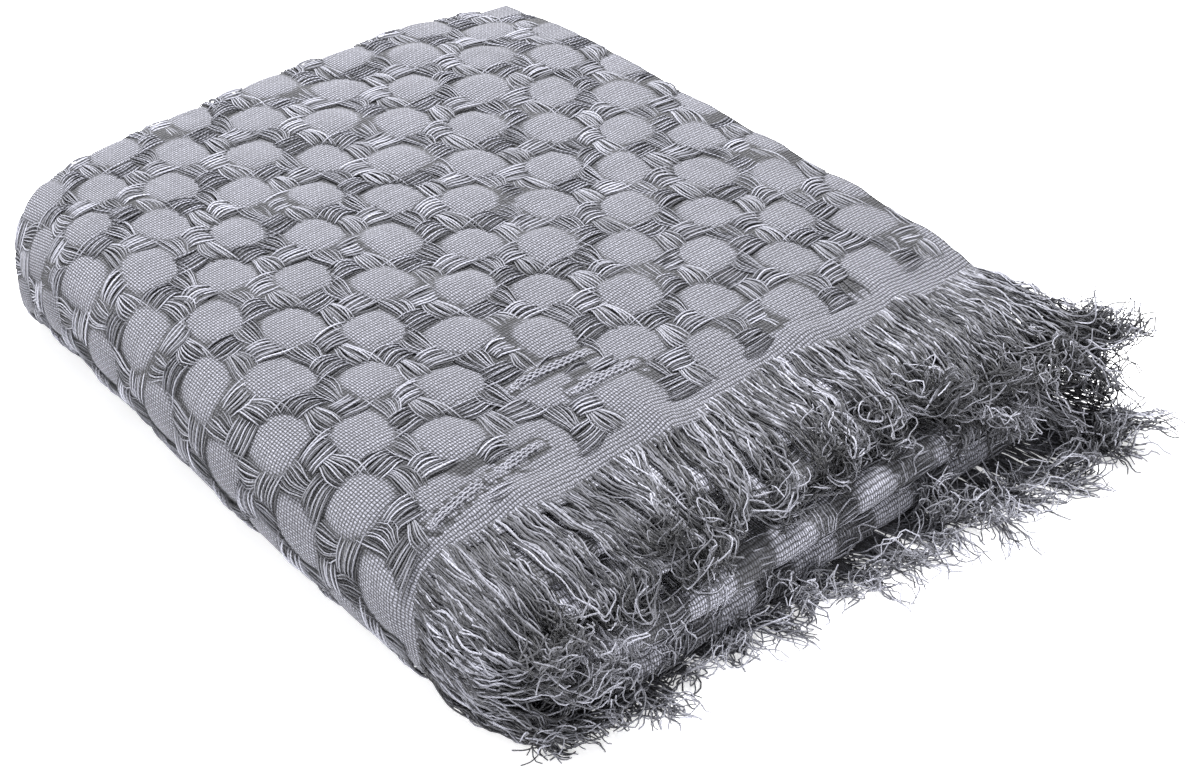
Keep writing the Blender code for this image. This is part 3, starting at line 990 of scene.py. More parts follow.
@dataclass
class ThrowCloth:
    """The woven sheet, fine where it shows and coarse between the plies."""

    shape: FoldShape
    weave: Weave
    regions: list[Region]
    part_cells: tuple[int, ...] = (40, 2, 20, 3, 16)
    leg_cells: tuple[int, ...] = (15, 15, 12, 9, 9, 5, 18, 5, 18)
    fine: int = 5
    # The inner face, which shows only in the folds: its ground gets painted light, and its weave is a little
    # larger.
    inner_painted_light: float = 1.85
    inner_scale: float = 0.95
    fade_v: float = 0.012
    fade_part: float = 0.05
    edge_taper: float = 0.012
    least_height: float = 0.0003

    def _refined(self, line: Array) -> Array:
        """A line of places with each of its stretches cut into the finer ones."""
        step = np.arange(self.fine) / self.fine
        return np.append((line[:-1, None] + np.diff(line)[:, None] * step).ravel(), line[-1])

    def _lines(self) -> tuple[Array, Array]:
        """The sheet's lattice.

        Returns:
            Its places along the section, counted in stretches, and its places across the cloth.
        """
        part = np.concatenate([np.linspace(k, k + 1, n, endpoint=False) for k, n in enumerate(self.part_cells)])
        part = np.append(part, float(len(self.part_cells)))
        knots = self.shape.path_knots
        v = np.concatenate(
            [np.linspace(knots[k], knots[k + 1], n, endpoint=False) for k, n in enumerate(self.leg_cells)]
        )
        return self._refined(part), self._refined(np.append(v, knots[-1]))

    def _warp_place(self, part: Array, v: Array) -> Array:
        """Where places of the lattice lie along the warp.

        Args:
            part, v: places along the section, in its stretches, and across the cloth.

        Returns:
            u of each.
        """
        ends = [np.zeros(np.shape(v))] + self.shape.parts(v)
        index = np.minimum(part.astype(int), len(self.part_cells) - 1)
        low, high = np.choose(index, ends[:-1]), np.choose(index, ends[1:])
        return low + (part - index) * (high - low)

    def _faces(self, part: Array, v: Array) -> tuple[list[list[int]], list[tuple[Face, int, int]]]:
        """The polygons of both faces and of the edge between them, small where the cloth shows.

        Args:
            part, v: the lattice's places along the section and across the cloth.

        Returns:
            The polygons, and each point's face and place in the lattice.
        """
        columns, rows = (len(part) - 1) // self.fine, (len(v) - 1) // self.fine
        mid_part = (part[:-1:self.fine] + part[self.fine::self.fine]) / 2
        mid_v = (v[:-1:self.fine] + v[self.fine::self.fine]) / 2
        middle = np.meshgrid(mid_part, mid_v, indexing="ij")
        fine_cells = {
            face: np.any([r.holds(*middle) for r in self.regions if r.face is face], axis=0) for face in Face
        }
        faces, used = [], {}

        def vertex(face: Face, a: int, b: int) -> int:
            """The number of a lattice point on a face."""
            return used.setdefault((face, a, b), len(used))

        def edge(face: Face, a: tuple[int, int], b: tuple[int, int], split: bool) -> list[int]:
            """Points of a cell's edge from a, without b."""
            parts = self.fine if split else 1
            step = ((b[0] - a[0]) // parts, (b[1] - a[1]) // parts)
            return [vertex(face, a[0] + k * step[0], a[1] + k * step[1]) for k in range(parts)]

        def is_fine(face: Face, c: int, r: int) -> bool:
            """Whether a cell is there and fine."""
            return 0 <= c < columns and 0 <= r < rows and bool(fine_cells[face][c, r])

        n, corners = self.fine, ((0, 0), (1, 0), (1, 1), (0, 1))
        for face in Face:
            flip = face is Face.INNER
            for c in range(columns):
                for r in range(rows):
                    a, b = c * n, r * n
                    if is_fine(face, c, r):
                        for s in range(n):
                            for t in range(n):
                                loop = [vertex(face, a + s + p, b + t + q) for p, q in corners]
                                faces.append(loop[::-1] if flip else loop)
                        continue
                    loop = edge(face, (a, b), (a + n, b), is_fine(face, c, r - 1))
                    loop += edge(face, (a + n, b), (a + n, b + n), is_fine(face, c + 1, r))
                    loop += edge(face, (a + n, b + n), (a, b + n), is_fine(face, c, r + 1))
                    loop += edge(face, (a, b + n), (a, b), is_fine(face, c - 1, r))
                    faces.append(loop[::-1] if flip else loop)
        walls = [((c * n, 0), ((c + 1) * n, 0), c, 0) for c in range(columns)]
        walls += [((columns * n, r * n), (columns * n, (r + 1) * n), columns - 1, r) for r in range(rows)]
        walls += [(((c + 1) * n, rows * n), (c * n, rows * n), c, rows - 1) for c in range(columns)]
        walls += [((0, (r + 1) * n), (0, r * n), 0, r) for r in range(rows)]
        for start, end, c, r in walls:
            outer, inner = (edge(f, start, end, is_fine(f, c, r)) + [vertex(f, *end)] for f in Face)
            faces.append(outer[::-1] + inner)
        return faces, list(used)

    def mesh(self) -> bpy.types.Mesh:
        """The sheet as one closed mesh with its weave's coordinates."""
        part, v = self._lines()
        faces, keys = self._faces(part, v)
        side = np.array([key[0].value for key in keys], float)
        a, b = np.array([key[1] for key in keys]), np.array([key[2] for key in keys])
        places = (part[a], v[b])
        u = self._warp_place(*places)
        i, j = self.weave.steps(u, places[1])
        near = self._shown_share(side, *places)
        thin = self.shape.edge_sheet + (1 - self.shape.edge_sheet) * smoothstep(u, 0.0, self.edge_taper)
        lift = side * (self.shape.sheet / 2 * thin + near * self.weave.relief(i, j))
        lift = lift + self.shape.edge_rise(u, places[1])
        points = self.shape.lay(u, places[1], lift)
        points[:, 2] = np.maximum(points[:, 2], self.least_height)
        mesh = bpy.data.meshes.new("throw_cloth_sheet")
        mesh.from_pydata(points.tolist(), [], faces)
        # Painted shade and light for the colour: "pad" marks the ground under the floats and beside the tucks
        # for painted shade, and "shade" brightens the inner face in the folds as painted light.
        shade = np.where(side < 0, self.inner_painted_light, 1.0)
        for name, value in (("pad", self.weave.painted_gap_mask(i, j, near)), ("shade", shade)):
            mesh.attributes.new(name, "FLOAT", "POINT").data.foreach_set("value", value.astype(np.float32))
        uv = np.stack([i, j], axis=-1) * np.where(side < 0, self.inner_scale, 1.0)[:, None]
        loops = np.empty(len(mesh.loops), np.int32)
        mesh.loops.foreach_get("vertex_index", loops)
        mesh.uv_layers.new(name="weave").data.foreach_set("uv", uv[loops].astype(np.float32).ravel())
        mesh.polygons.foreach_set("use_smooth", np.ones(len(mesh.polygons), bool))
        mesh.update()
        return mesh

    def _shown_share(self, side: Array, part: Array, v: Array) -> Array:
        """How much each point's face shows.

        Args:
            side: 1 on the outer face, -1 on the inner one.
            part, v: places along the section, in its stretches, and across the cloth.

        Returns:
            1 where it shows, and 0 in between the plies.
        """
        shown = np.zeros(len(side))
        for region in self.regions:
            inside = (side == region.face.value).astype(float)
            spans = ((v, region.v_range, self.fade_v), (part, region.u_parts, self.fade_part))
            for at, (low, high), fade in spans:
                inside = inside * smoothstep(at, low - fade, low) * (1 - smoothstep(at, high, high + fade))
            shown = np.maximum(shown, inside)
        return shown

    def build(self) -> Piece:
        """Makes the piece and dresses it."""
        mesh = self.mesh()
        mesh.materials.append(PlainWeaveFinish().material())
        piece = added("woven_sheet", mesh)
        dress(piece, "throw_cotton", "throw_cloth")
        return piece


@dataclass(frozen=True)
class BundleStyle:
    """The yarns of one kind of float bundle. Places are in steps from its inner corner."""

    finish: YarnFinish
    count: int
    thickness: float
    arch: float
    jitter: float
    reach: float
    start: float
    most_end: float
    pinch: Span
    waist: float
    foot: float


# The warp floats are coloured darker than the weft floats as painted shade: both are the same cotton, and the
# difference stands for how the light catches yarns that lie each way.
FLOAT_STYLES = {
    Lie.WARP: BundleStyle(
        YarnFinish("warp_floats", (0.175, 0.177, 0.204), spread=0.75), 16, 0.00100, 0.0013,
        jitter=0.45, reach=0.56, start=-0.09, most_end=0.80, pinch=(0.42, 0.62), waist=0.16, foot=-0.0002,
    ),
    Lie.WEFT: BundleStyle(
        YarnFinish("weft_floats", (0.205, 0.207, 0.240), spread=0.75), 12, 0.00120, 0.0014,
        jitter=0.28, reach=0.53, start=-0.04, most_end=0.72, pinch=(0.76, 0.92), waist=0.05, foot=0.0004,
    ),
}


@dataclass
class FloatYarns:
    """The loose floats between the pads: fine warp bundles and coarser weft bundles, laid like a pinwheel."""

    shape: FoldShape
    weave: Weave
    regions: list[Region]
    seed: int = 5
    last_column: int = 13
    # Where yarns end, and how bundles and single yarns stray sideways.
    end_stray: Span = (-0.06, 0.05)
    band_end: float = 0.50
    band_stray: float = 0.05
    widened: float = 0.62
    curve: float = 0.07
    yarn_curve: float = 0.018
    skew: float = 0.05
    skew_middle: float = 0.4
    middle: Span = (0.35, 0.60)
    wriggle: float = 0.012
    # How they arch over the ground and onto the pads.
    yarn_arch: Span = (0.60, 1.30)
    side_arch: Span = (0.75, 0.35)
    bundle_arch: Span = (0.85, 1.15)
    arch_powers: Span = (0.85, 0.8)
    end_sink: float = 0.0004
    rest: float = 0.6
    onto_pad: float = 0.7
    # Shade and girth. Every second yarn lies sunk between its neighbours and gets painted shade, and both ends
    # of each yarn, where it runs under the pads, get painted shade too.
    tone: Span = (0.66, 0.20)
    tone_limits: Span = (0.2, 1.1)
    bundle_tone: float = 0.06
    sunk_painted_shade: float = 0.08
    sunk_depth: float = 0.00035
    sunk_girth: float = 0.85
    ends_painted_shade: float = 0.45
    start_painted_shade: float = 0.8
    start_painted_span: Span = (0.0, 0.22)
    ends_painted_span: Span = (0.78, 1.0)
    girth: Span = (0.70, 0.35)
    girth_stray: Span = (0.80, 1.10)
    # On the inner face they lie flatter and thinner, and get painted light.
    inner_stand: float = 0.0017
    inner_arch: float = 0.6
    inner_girth: float = 0.85
    inner_float_painted_light: float = 1.30
    # Gaps, in steps to the band and the tucks, and in metres to the cloth's edges.
    band_overlap: float = 0.14
    tuck_gap: float = 0.13
    end_gap: float = 0.01
    selvage_gap: float = 0.0005

    def bundles(self) -> list[FloatBundle]:
        """Every bundle of the cloth: four in each block between pads, by turns along the warp and the weft."""
        low = self.weave.steps(np.array(self.shape.cloth_length), np.array(0.0))[0]
        last = self.weave.steps(np.array(0.0), np.array(self.shape.width))[1]
        found = []
        for ci in range(int(low) - 1, int(self.weave.band_start) + 1):
            for cj in range(int(last) - 2, self.last_column):
                if (ci + cj) % 2 == 0:
                    continue
                turn = 1 if ci % 2 else -1
                for sa, sb in ((-1, -1), (-1, 1), (1, -1), (1, 1)):
                    lie = Lie.WARP if sa * sb * turn > 0 else Lie.WEFT
                    found.append(FloatBundle((ci, cj), lie, (sa, sb)))
        return found

    def _lines(self, bundle: FloatBundle, points: int, rng: np.random.Generator) -> tuple[Array, ...]:
        """The yarns of a bundle.

        Args:
            bundle: the bundle.
            points: how many points a yarn has.
            rng: the chance.

        Returns:
            i, j, lift, tone and girth at each point, yarns by points.
        """
        style = FLOAT_STYLES[bundle.lie]
        warp, count, reach = bundle.lie is Lie.WARP, style.count, style.reach
        radius, power, t = self.weave.pad_radius, self.weave.pad_power, np.linspace(0, 1, points)[None, :]
        jitter = rng.uniform(-style.jitter, style.jitter, count)
        side = (np.arange(count) + 0.5 + jitter)[:, None] / count * reach
        end = 1 - np.maximum(radius**power - np.minimum(side, radius) ** power, 0.0) ** (1 / power)
        end = np.minimum(end, style.most_end) + rng.uniform(*self.end_stray, (count, 1))
        if warp and bundle.centre[0] + bundle.side[0] > self.weave.band_start:
            end = np.minimum(end, self.band_end + rng.uniform(-self.band_stray, self.band_stray, (count, 1)))
        pinch = rng.uniform(*style.pinch)
        along = style.start + (end - style.start) * t
        spread = pinch + (1 - pinch) * smoothstep(t, 0.0, self.widened) - style.waist * smoothstep(t, 0.7, 1.0)
        curve = rng.uniform(-self.curve, self.curve)
        curve = curve + rng.uniform(-self.yarn_curve, self.yarn_curve, (count, 1))
        skew = rng.uniform(-self.skew, self.skew)
        middle = rng.uniform(*self.middle) * reach
        lateral = middle + (side - middle) * spread + curve * np.sin(np.pi * t) + skew * (t - self.skew_middle)
        wriggle = rng.uniform(-self.wriggle, self.wriggle, (count, 1))
        lateral = lateral + wriggle * np.sin(TURN * t + rng.uniform(0, 6))
        flat, bulge = self.side_arch
        arch = style.arch * rng.uniform(*self.yarn_arch, (count, 1))
        arch = arch * (flat + bulge * np.sin(np.pi * side / reach))
        arch = arch * rng.uniform(*self.bundle_arch)
        lean, blunt = self.arch_powers
        bow = np.sin(np.pi * np.clip(t, 0, 1) ** lean) ** blunt
        foot = self.weave.ground + style.foot * (1 - t) - self.end_sink * t
        lift = self.shape.sheet / 2 + foot + style.thickness / 2 * self.rest + arch * bow
        lift = lift + self.weave.pad_height * self.onto_pad * t**3
        sa, sb = bundle.side
        a, b = (sa * along, sb * lateral) if warp else (sa * lateral, sb * along)
        i, j = bundle.centre[0] + a, bundle.centre[1] + b
        di, dj = self.weave.wander(i, j)
        sunk = (np.arange(count) % 2 == 1)[:, None]
        tone = rng.normal(*self.tone, count) + rng.normal(0.0, self.bundle_tone)
        tone = np.clip(tone, *self.tone_limits)[:, None]
        # Painted shade on the sunk yarns and at both ends of every yarn.
        tone = np.where(sunk, self.sunk_painted_shade * tone, tone)
        lift = lift - self.sunk_depth * sunk
        ends_painted_mask = smoothstep(t, *self.ends_painted_span) + self.start_painted_shade * (1 - smoothstep(t, *self.start_painted_span))
        tone = tone - self.ends_painted_shade * ends_painted_mask
        least, more = self.girth
        girth = np.broadcast_to(least + more * bow, i.shape) * rng.uniform(*self.girth_stray, (count, 1))
        girth = girth * np.where(sunk, self.sunk_girth, 1.0)
        return i + di, j + dj, lift, tone, girth

    def lines(self, lie: Lie, regions: list[Region], points: int, of_ten: int) -> tuple[Array, ...]:
        """The bundles that lie one way and show in some regions.

        Args:
            lie: which way they lie.
            regions: the parts of the cloth.
            points: how many points a yarn has.
            of_ten: how many of ten yarns are made.

        Returns:
            Centre lines, girth and tone of their yarns.
        """
        rng = np.random.default_rng(self.seed + (lie is Lie.WEFT))
        lines, girths, tones = [], [], []
        weave, shape, middle = self.weave, self.shape, points // 2
        for bundle in self.bundles():
            if bundle.lie is not lie:
                continue
            i, j, lift, tone, girth = self._lines(bundle, points, rng)
            u, v = weave.place(i, j)
            keep = (i.max(axis=1) < weave.band_start + self.band_overlap) & (np.arange(len(u)) % 10 < of_ten)
            keep &= u.max(axis=1) < shape.cloth_length - self.end_gap
            keep &= (v.min(axis=1) > self.selvage_gap) & (v.max(axis=1) < shape.width - self.selvage_gap)
            for tuck in weave.tucks:
                keep &= tuck.distance(i, j).min(axis=1) > self.tuck_gap
            mid_u, mid_v = u[:, middle], v[:, middle]
            ends = [np.zeros(len(u))] + shape.parts(mid_v)
            part = np.select(
                [mid_u <= high for high in ends[1:]],
                [k + (mid_u - low) / (high - low) for k, (low, high) in enumerate(zip(ends, ends[1:]))],
                float(len(ends) - 1),
            )
            for face in Face:
                inside = [region.holds(part, mid_v) for region in regions if region.face is face]
                shown = np.any(inside, axis=0) & keep
                if not inside or not shown.any():
                    continue
                outer, stand = face is Face.OUTER, lift[shown]
                if not outer:
                    stand = self.inner_stand + self.inner_arch * (stand - self.inner_stand)
                lines.append(shape.lay(u[shown], v[shown], face.value * stand))
                girths.append(girth[shown] * (1.0 if outer else self.inner_girth))
                # Painted light on the floats of the folds.
                tones.append(tone[shown] * (1.0 if outer else self.inner_float_painted_light))
        every = np.concatenate(lines)
        every[..., 2] = np.maximum(every[..., 2], FLOAT_STYLES[Lie.WEFT].thickness / 2)
        return every, np.concatenate(girths), np.concatenate(tones)

    def build(self, sweep: YarnSweep) -> list[Piece]:
        """Makes the floats of the top and of the folds with the given sweep, and returns the dressed pieces."""
        pieces = []
        finishes = {lie: style.finish.material() for lie, style in FLOAT_STYLES.items()}
        # Each part: its name, its regions, the points of a yarn, and how many of ten yarns are made.
        parts = (("top", self.regions[:1], 6, 10), ("fold", self.regions[1:], 4, 7))
        for place, regions, points, of_ten in parts:
            for lie, style in FLOAT_STYLES.items():
                lines, girth, tone = self.lines(lie, regions, points, of_ten)
                name = f"{lie.value}_floats_{place}"
                pieces.append(sweep.sweep(name, lines, girth, tone, style.thickness, finishes[lie]))
                dress(pieces[-1], "throw_cotton")
        return pieces


@dataclass
class Plies:
    """The folded plies as a body that yarns lie against: signed distances on an even lattice of points."""

    shape: FoldShape
    cell: float = 0.0025
    low: Vector = (0.045, -0.235, -0.0125)
    high: Vector = (0.305, 0.235, 0.1075)
    outer_cells: int = 9
    inner_cells: int = 7
    samples: tuple[int, int, int] = (950, 14, 72)
    start: float = 0.015
    grid: Array | None = None

    def build(self) -> None:
        """Fills the lattice, and measures it cell by cell from the plies' face."""
        dims = [int(round((b - a) / self.cell)) for a, b in zip(self.low, self.high)]
        index = np.floor((self._body() - np.array(self.low)) / self.cell).astype(int)
        index = index[np.all((index >= 0) & (index < dims), axis=-1)]
        fill = np.zeros(dims, bool)
        fill[tuple(index.T)] = True
        away, depth = self._cells_from(fill, self.outer_cells), self._cells_from(~fill, self.inner_cells)
        distance = np.where(fill, -depth, away) * self.cell
        for axis in range(3):
            distance = (np.roll(distance, 1, axis) + 2 * distance + np.roll(distance, -1, axis)) / 4
        self.grid = np.stack([distance, *np.gradient(distance, self.cell)], axis=-1)

    def _cells_from(self, fill: Array, most: int) -> Array:
        """How many cells each cell lies off the filled ones, up to a number."""
        count = np.full(fill.shape, float(most))
        for k in range(most):
            count[fill & (count > most - 0.5)] = k - 0.5
            fill = self._grown(fill, k % 2 == 0)
        return count

    def _body(self) -> Array:
        """Points all through the plies near their east end."""
        shape, across, deep, along = self.shape, *self.samples
        v = np.linspace(0.0005, shape.width - 0.0005, across)
        out, back = shape.leg_values(v, "out"), shape.leg_values(v, "back")
        low, high = -shape.pitch - back - shape.sheet / 2, shape.pitch + shape.sheet / 2
        offset = low[:, None] + (high - low)[:, None] * np.linspace(0, 1, deep)
        middle = ((out - back - shape.pitch) / 2)[:, None]
        half = ((out + back + shape.pitch + shape.sheet) / 2)[:, None]
        round_end = np.sqrt(np.maximum(1 - ((offset - middle) / half) ** 2, 0))
        end = np.where(
            np.abs(offset - middle) < half,
            shape.east + (shape.lobe_depth + shape.sheet / 2) * round_end,
            (shape.outer_edge(v) - 0.001)[:, None],
        )
        x = self.start + (end - self.start)[..., None] * np.linspace(0, 1, along)
        centre, normal = shape.path(v)
        place = centre[:, None, None, :] + offset[..., None, None] * normal[:, None, None, :]
        place = np.broadcast_to(place, (*x.shape, 2))
        return shape.settle(np.concatenate([x[..., None], place], axis=-1)).reshape(-1, 3)

    @staticmethod
    def _grown(fill: Array, whole: bool) -> Array:
        """The filled cells and their neighbours, with the diagonal ones or without."""
        grown = fill.copy()
        for axis in range(3):
            source = grown.copy() if whole else fill
            for step in (1, -1):
                grown |= np.roll(source, step, axis)
        return grown

    def sample(self, points: Array) -> Array:
        """Reads the lattice.

        Args:
            points: places, whose last axis holds x, y and z.

        Returns:
            The distance and its slope along x, y and z at each.
        """
        place = (points - np.array(self.low)) / self.cell - 0.5
        place = np.clip(place, 0, np.array(self.grid.shape[:3]) - 2)
        base = place.astype(int)
        rest = place - base
        total = np.zeros((*points.shape[:-1], 4))
        for corner in np.ndindex(2, 2, 2):
            weight = np.prod(np.where(corner, rest, 1 - rest), axis=-1)
            cell = base + corner
            total += weight[..., None] * self.grid[cell[..., 0], cell[..., 1], cell[..., 2]]
        return total


@dataclass
class Drape:
    """Lets loose yarns settle on the plies and the floor and make room for one another."""

    plies: Plies
    radius: float = 0.0006
    gap: float = 0.0006
    deepest: float = 0.004
    steps: int = 30
    passes: int = 3
    fall: float = 0.00010
    keep: float = 0.80
    grip: float = 0.45
    bend: float = 0.10
    cell: float = 0.0032
    room: float = 2.0
    crowd: float = 0.00020
    most_push: float = 4.0
    cover_steps: tuple[float, ...] = (1.2, 2.4, 3.6, 4.8)
    open_side: Vector = (0.3, 0.0, 0.7)

    def settle(self, lines: Array, pinned: int, others: Array) -> Array:
        """Lets yarns settle.

        Args:
            lines: yarns by points by three, at the start.
            pinned: how many points of each stay where they are.
            others: points of yarns that already lie there.

        Returns:
            The yarns where they come to rest.
        """
        at, before = lines.copy(), lines.copy()
        length = np.linalg.norm(np.diff(lines, axis=1), axis=-1)
        free = np.ones(lines.shape[1])
        free[:pinned] = 0.0
        push = np.array((0.0, 0.0, -self.fall)) * free[None, :, None]
        for step in range(self.steps):
            motion = (at - before) * self.keep * free[None, :, None]
            before = at.copy()
            at = at + motion + push
            if step % 2 == 0:
                at = at - self._crowding(at, others) * free[None, :, None]
            for _ in range(self.passes):
                self._hold_lengths(at, length, free)
                self.straighten(at, free, self.bend)
            self._hold_lengths(at, length, free)
            moved = self.clear(at, free)
            before = before + self.grip * (at - before) * moved[..., None]
        return at

    @staticmethod
    def straighten(at: Array, free: Array, share: float) -> None:
        """Draws each point a share of the way to the middle of its neighbours, where it is free."""
        middle = (at[:, 2:] + at[:, :-2]) / 2
        at[:, 1:-1] += share * (middle - at[:, 1:-1]) * free[None, 1:-1, None]

    @staticmethod
    def _hold_lengths(at: Array, length: Array, free: Array) -> None:
        """Brings each stretch of the yarns back to its length."""
        count = at.shape[1]
        for first in (0, 1):
            a, b = slice(first, count - 1, 2), slice(first + 1, count, 2)
            line = at[:, b] - at[:, a]
            size = np.linalg.norm(line, axis=-1, keepdims=True)
            share = (size - length[:, a, None]) / np.maximum(size, TINY)
            total = np.maximum(free[a] + free[b], TINY)
            at[:, a] += line * share * (free[a] / total)[None, :, None]
            at[:, b] -= line * share * (free[b] / total)[None, :, None]

    def clear(self, at: Array, free: Array) -> Array:
        """Moves points out of the plies and the floor.

        Args:
            at: the yarns, which it changes.
            free: 1 for each point along a yarn that may move.

        Returns:
            Which points it moved.
        """
        found = self.plies.sample(at)
        deep = np.clip(self.radius + self.gap - found[..., 0], 0.0, self.deepest) * free[None, :]
        at += deep[..., None] * unit(found[..., 1:])
        low = (at[..., 2] < self.radius) & (free[None, :] > 0)
        at[..., 2] = np.where(low, self.radius, at[..., 2])
        return (deep > 0) | low

    def _density(self, points: Array) -> tuple[Array, Array]:
        """How many points each cell holds, and the cell of each point."""
        low = np.array(self.plies.low)
        dims = np.ceil((np.array(self.plies.high) - low) / self.cell).astype(int) + 2
        place = np.clip((points - low) / self.cell, 0, dims - 2)
        base = place.astype(int)
        rest = place - base
        density = np.zeros(int(np.prod(dims)))
        for corner in np.ndindex(2, 2, 2):
            weight = np.prod(np.where(corner, rest, 1 - rest), axis=-1)
            index = np.ravel_multi_index(tuple((base + corner).T), dims)
            density += np.bincount(index, weight, minlength=density.size)
        return density.reshape(dims), base

    def cover(self, at: Array, others: Array) -> Array:
        """How much yarn lies over each point, outwards from the plies.

        Args:
            at: the yarns.
            others: the points of all the yarns.

        Returns:
            0 where a point is open, and more under more yarn.
        """
        density, _ = self._density(others)
        outward = unit(self.plies.sample(at)[..., 1:] + np.array(self.open_side))
        total = np.zeros(at.shape[:2])
        low, limit = np.array(self.plies.low), np.array(density.shape) - 1
        for step in self.cover_steps:
            cell = ((at + outward * step * self.cell - low) / self.cell + 0.5).astype(int)
            cell = np.clip(cell, 0, limit)
            total += density[cell[..., 0], cell[..., 1], cell[..., 2]]
        return total

    def _crowding(self, at: Array, others: Array) -> Array:
        """How far the yarns' crowding moves each point."""
        density, base = self._density(np.concatenate([at.reshape(-1, 3), others]))
        slope = np.stack(np.gradient(np.maximum(density - self.room, 0.0)), axis=-1)
        own = base[: at.shape[0] * at.shape[1]]
        push = slope[own[:, 0], own[:, 1], own[:, 2]]
        size = np.linalg.norm(push, axis=-1, keepdims=True)
        push = push * np.minimum(1.0, self.most_push / np.maximum(size, TINY)) * self.crowd
        return push.reshape(at.shape)


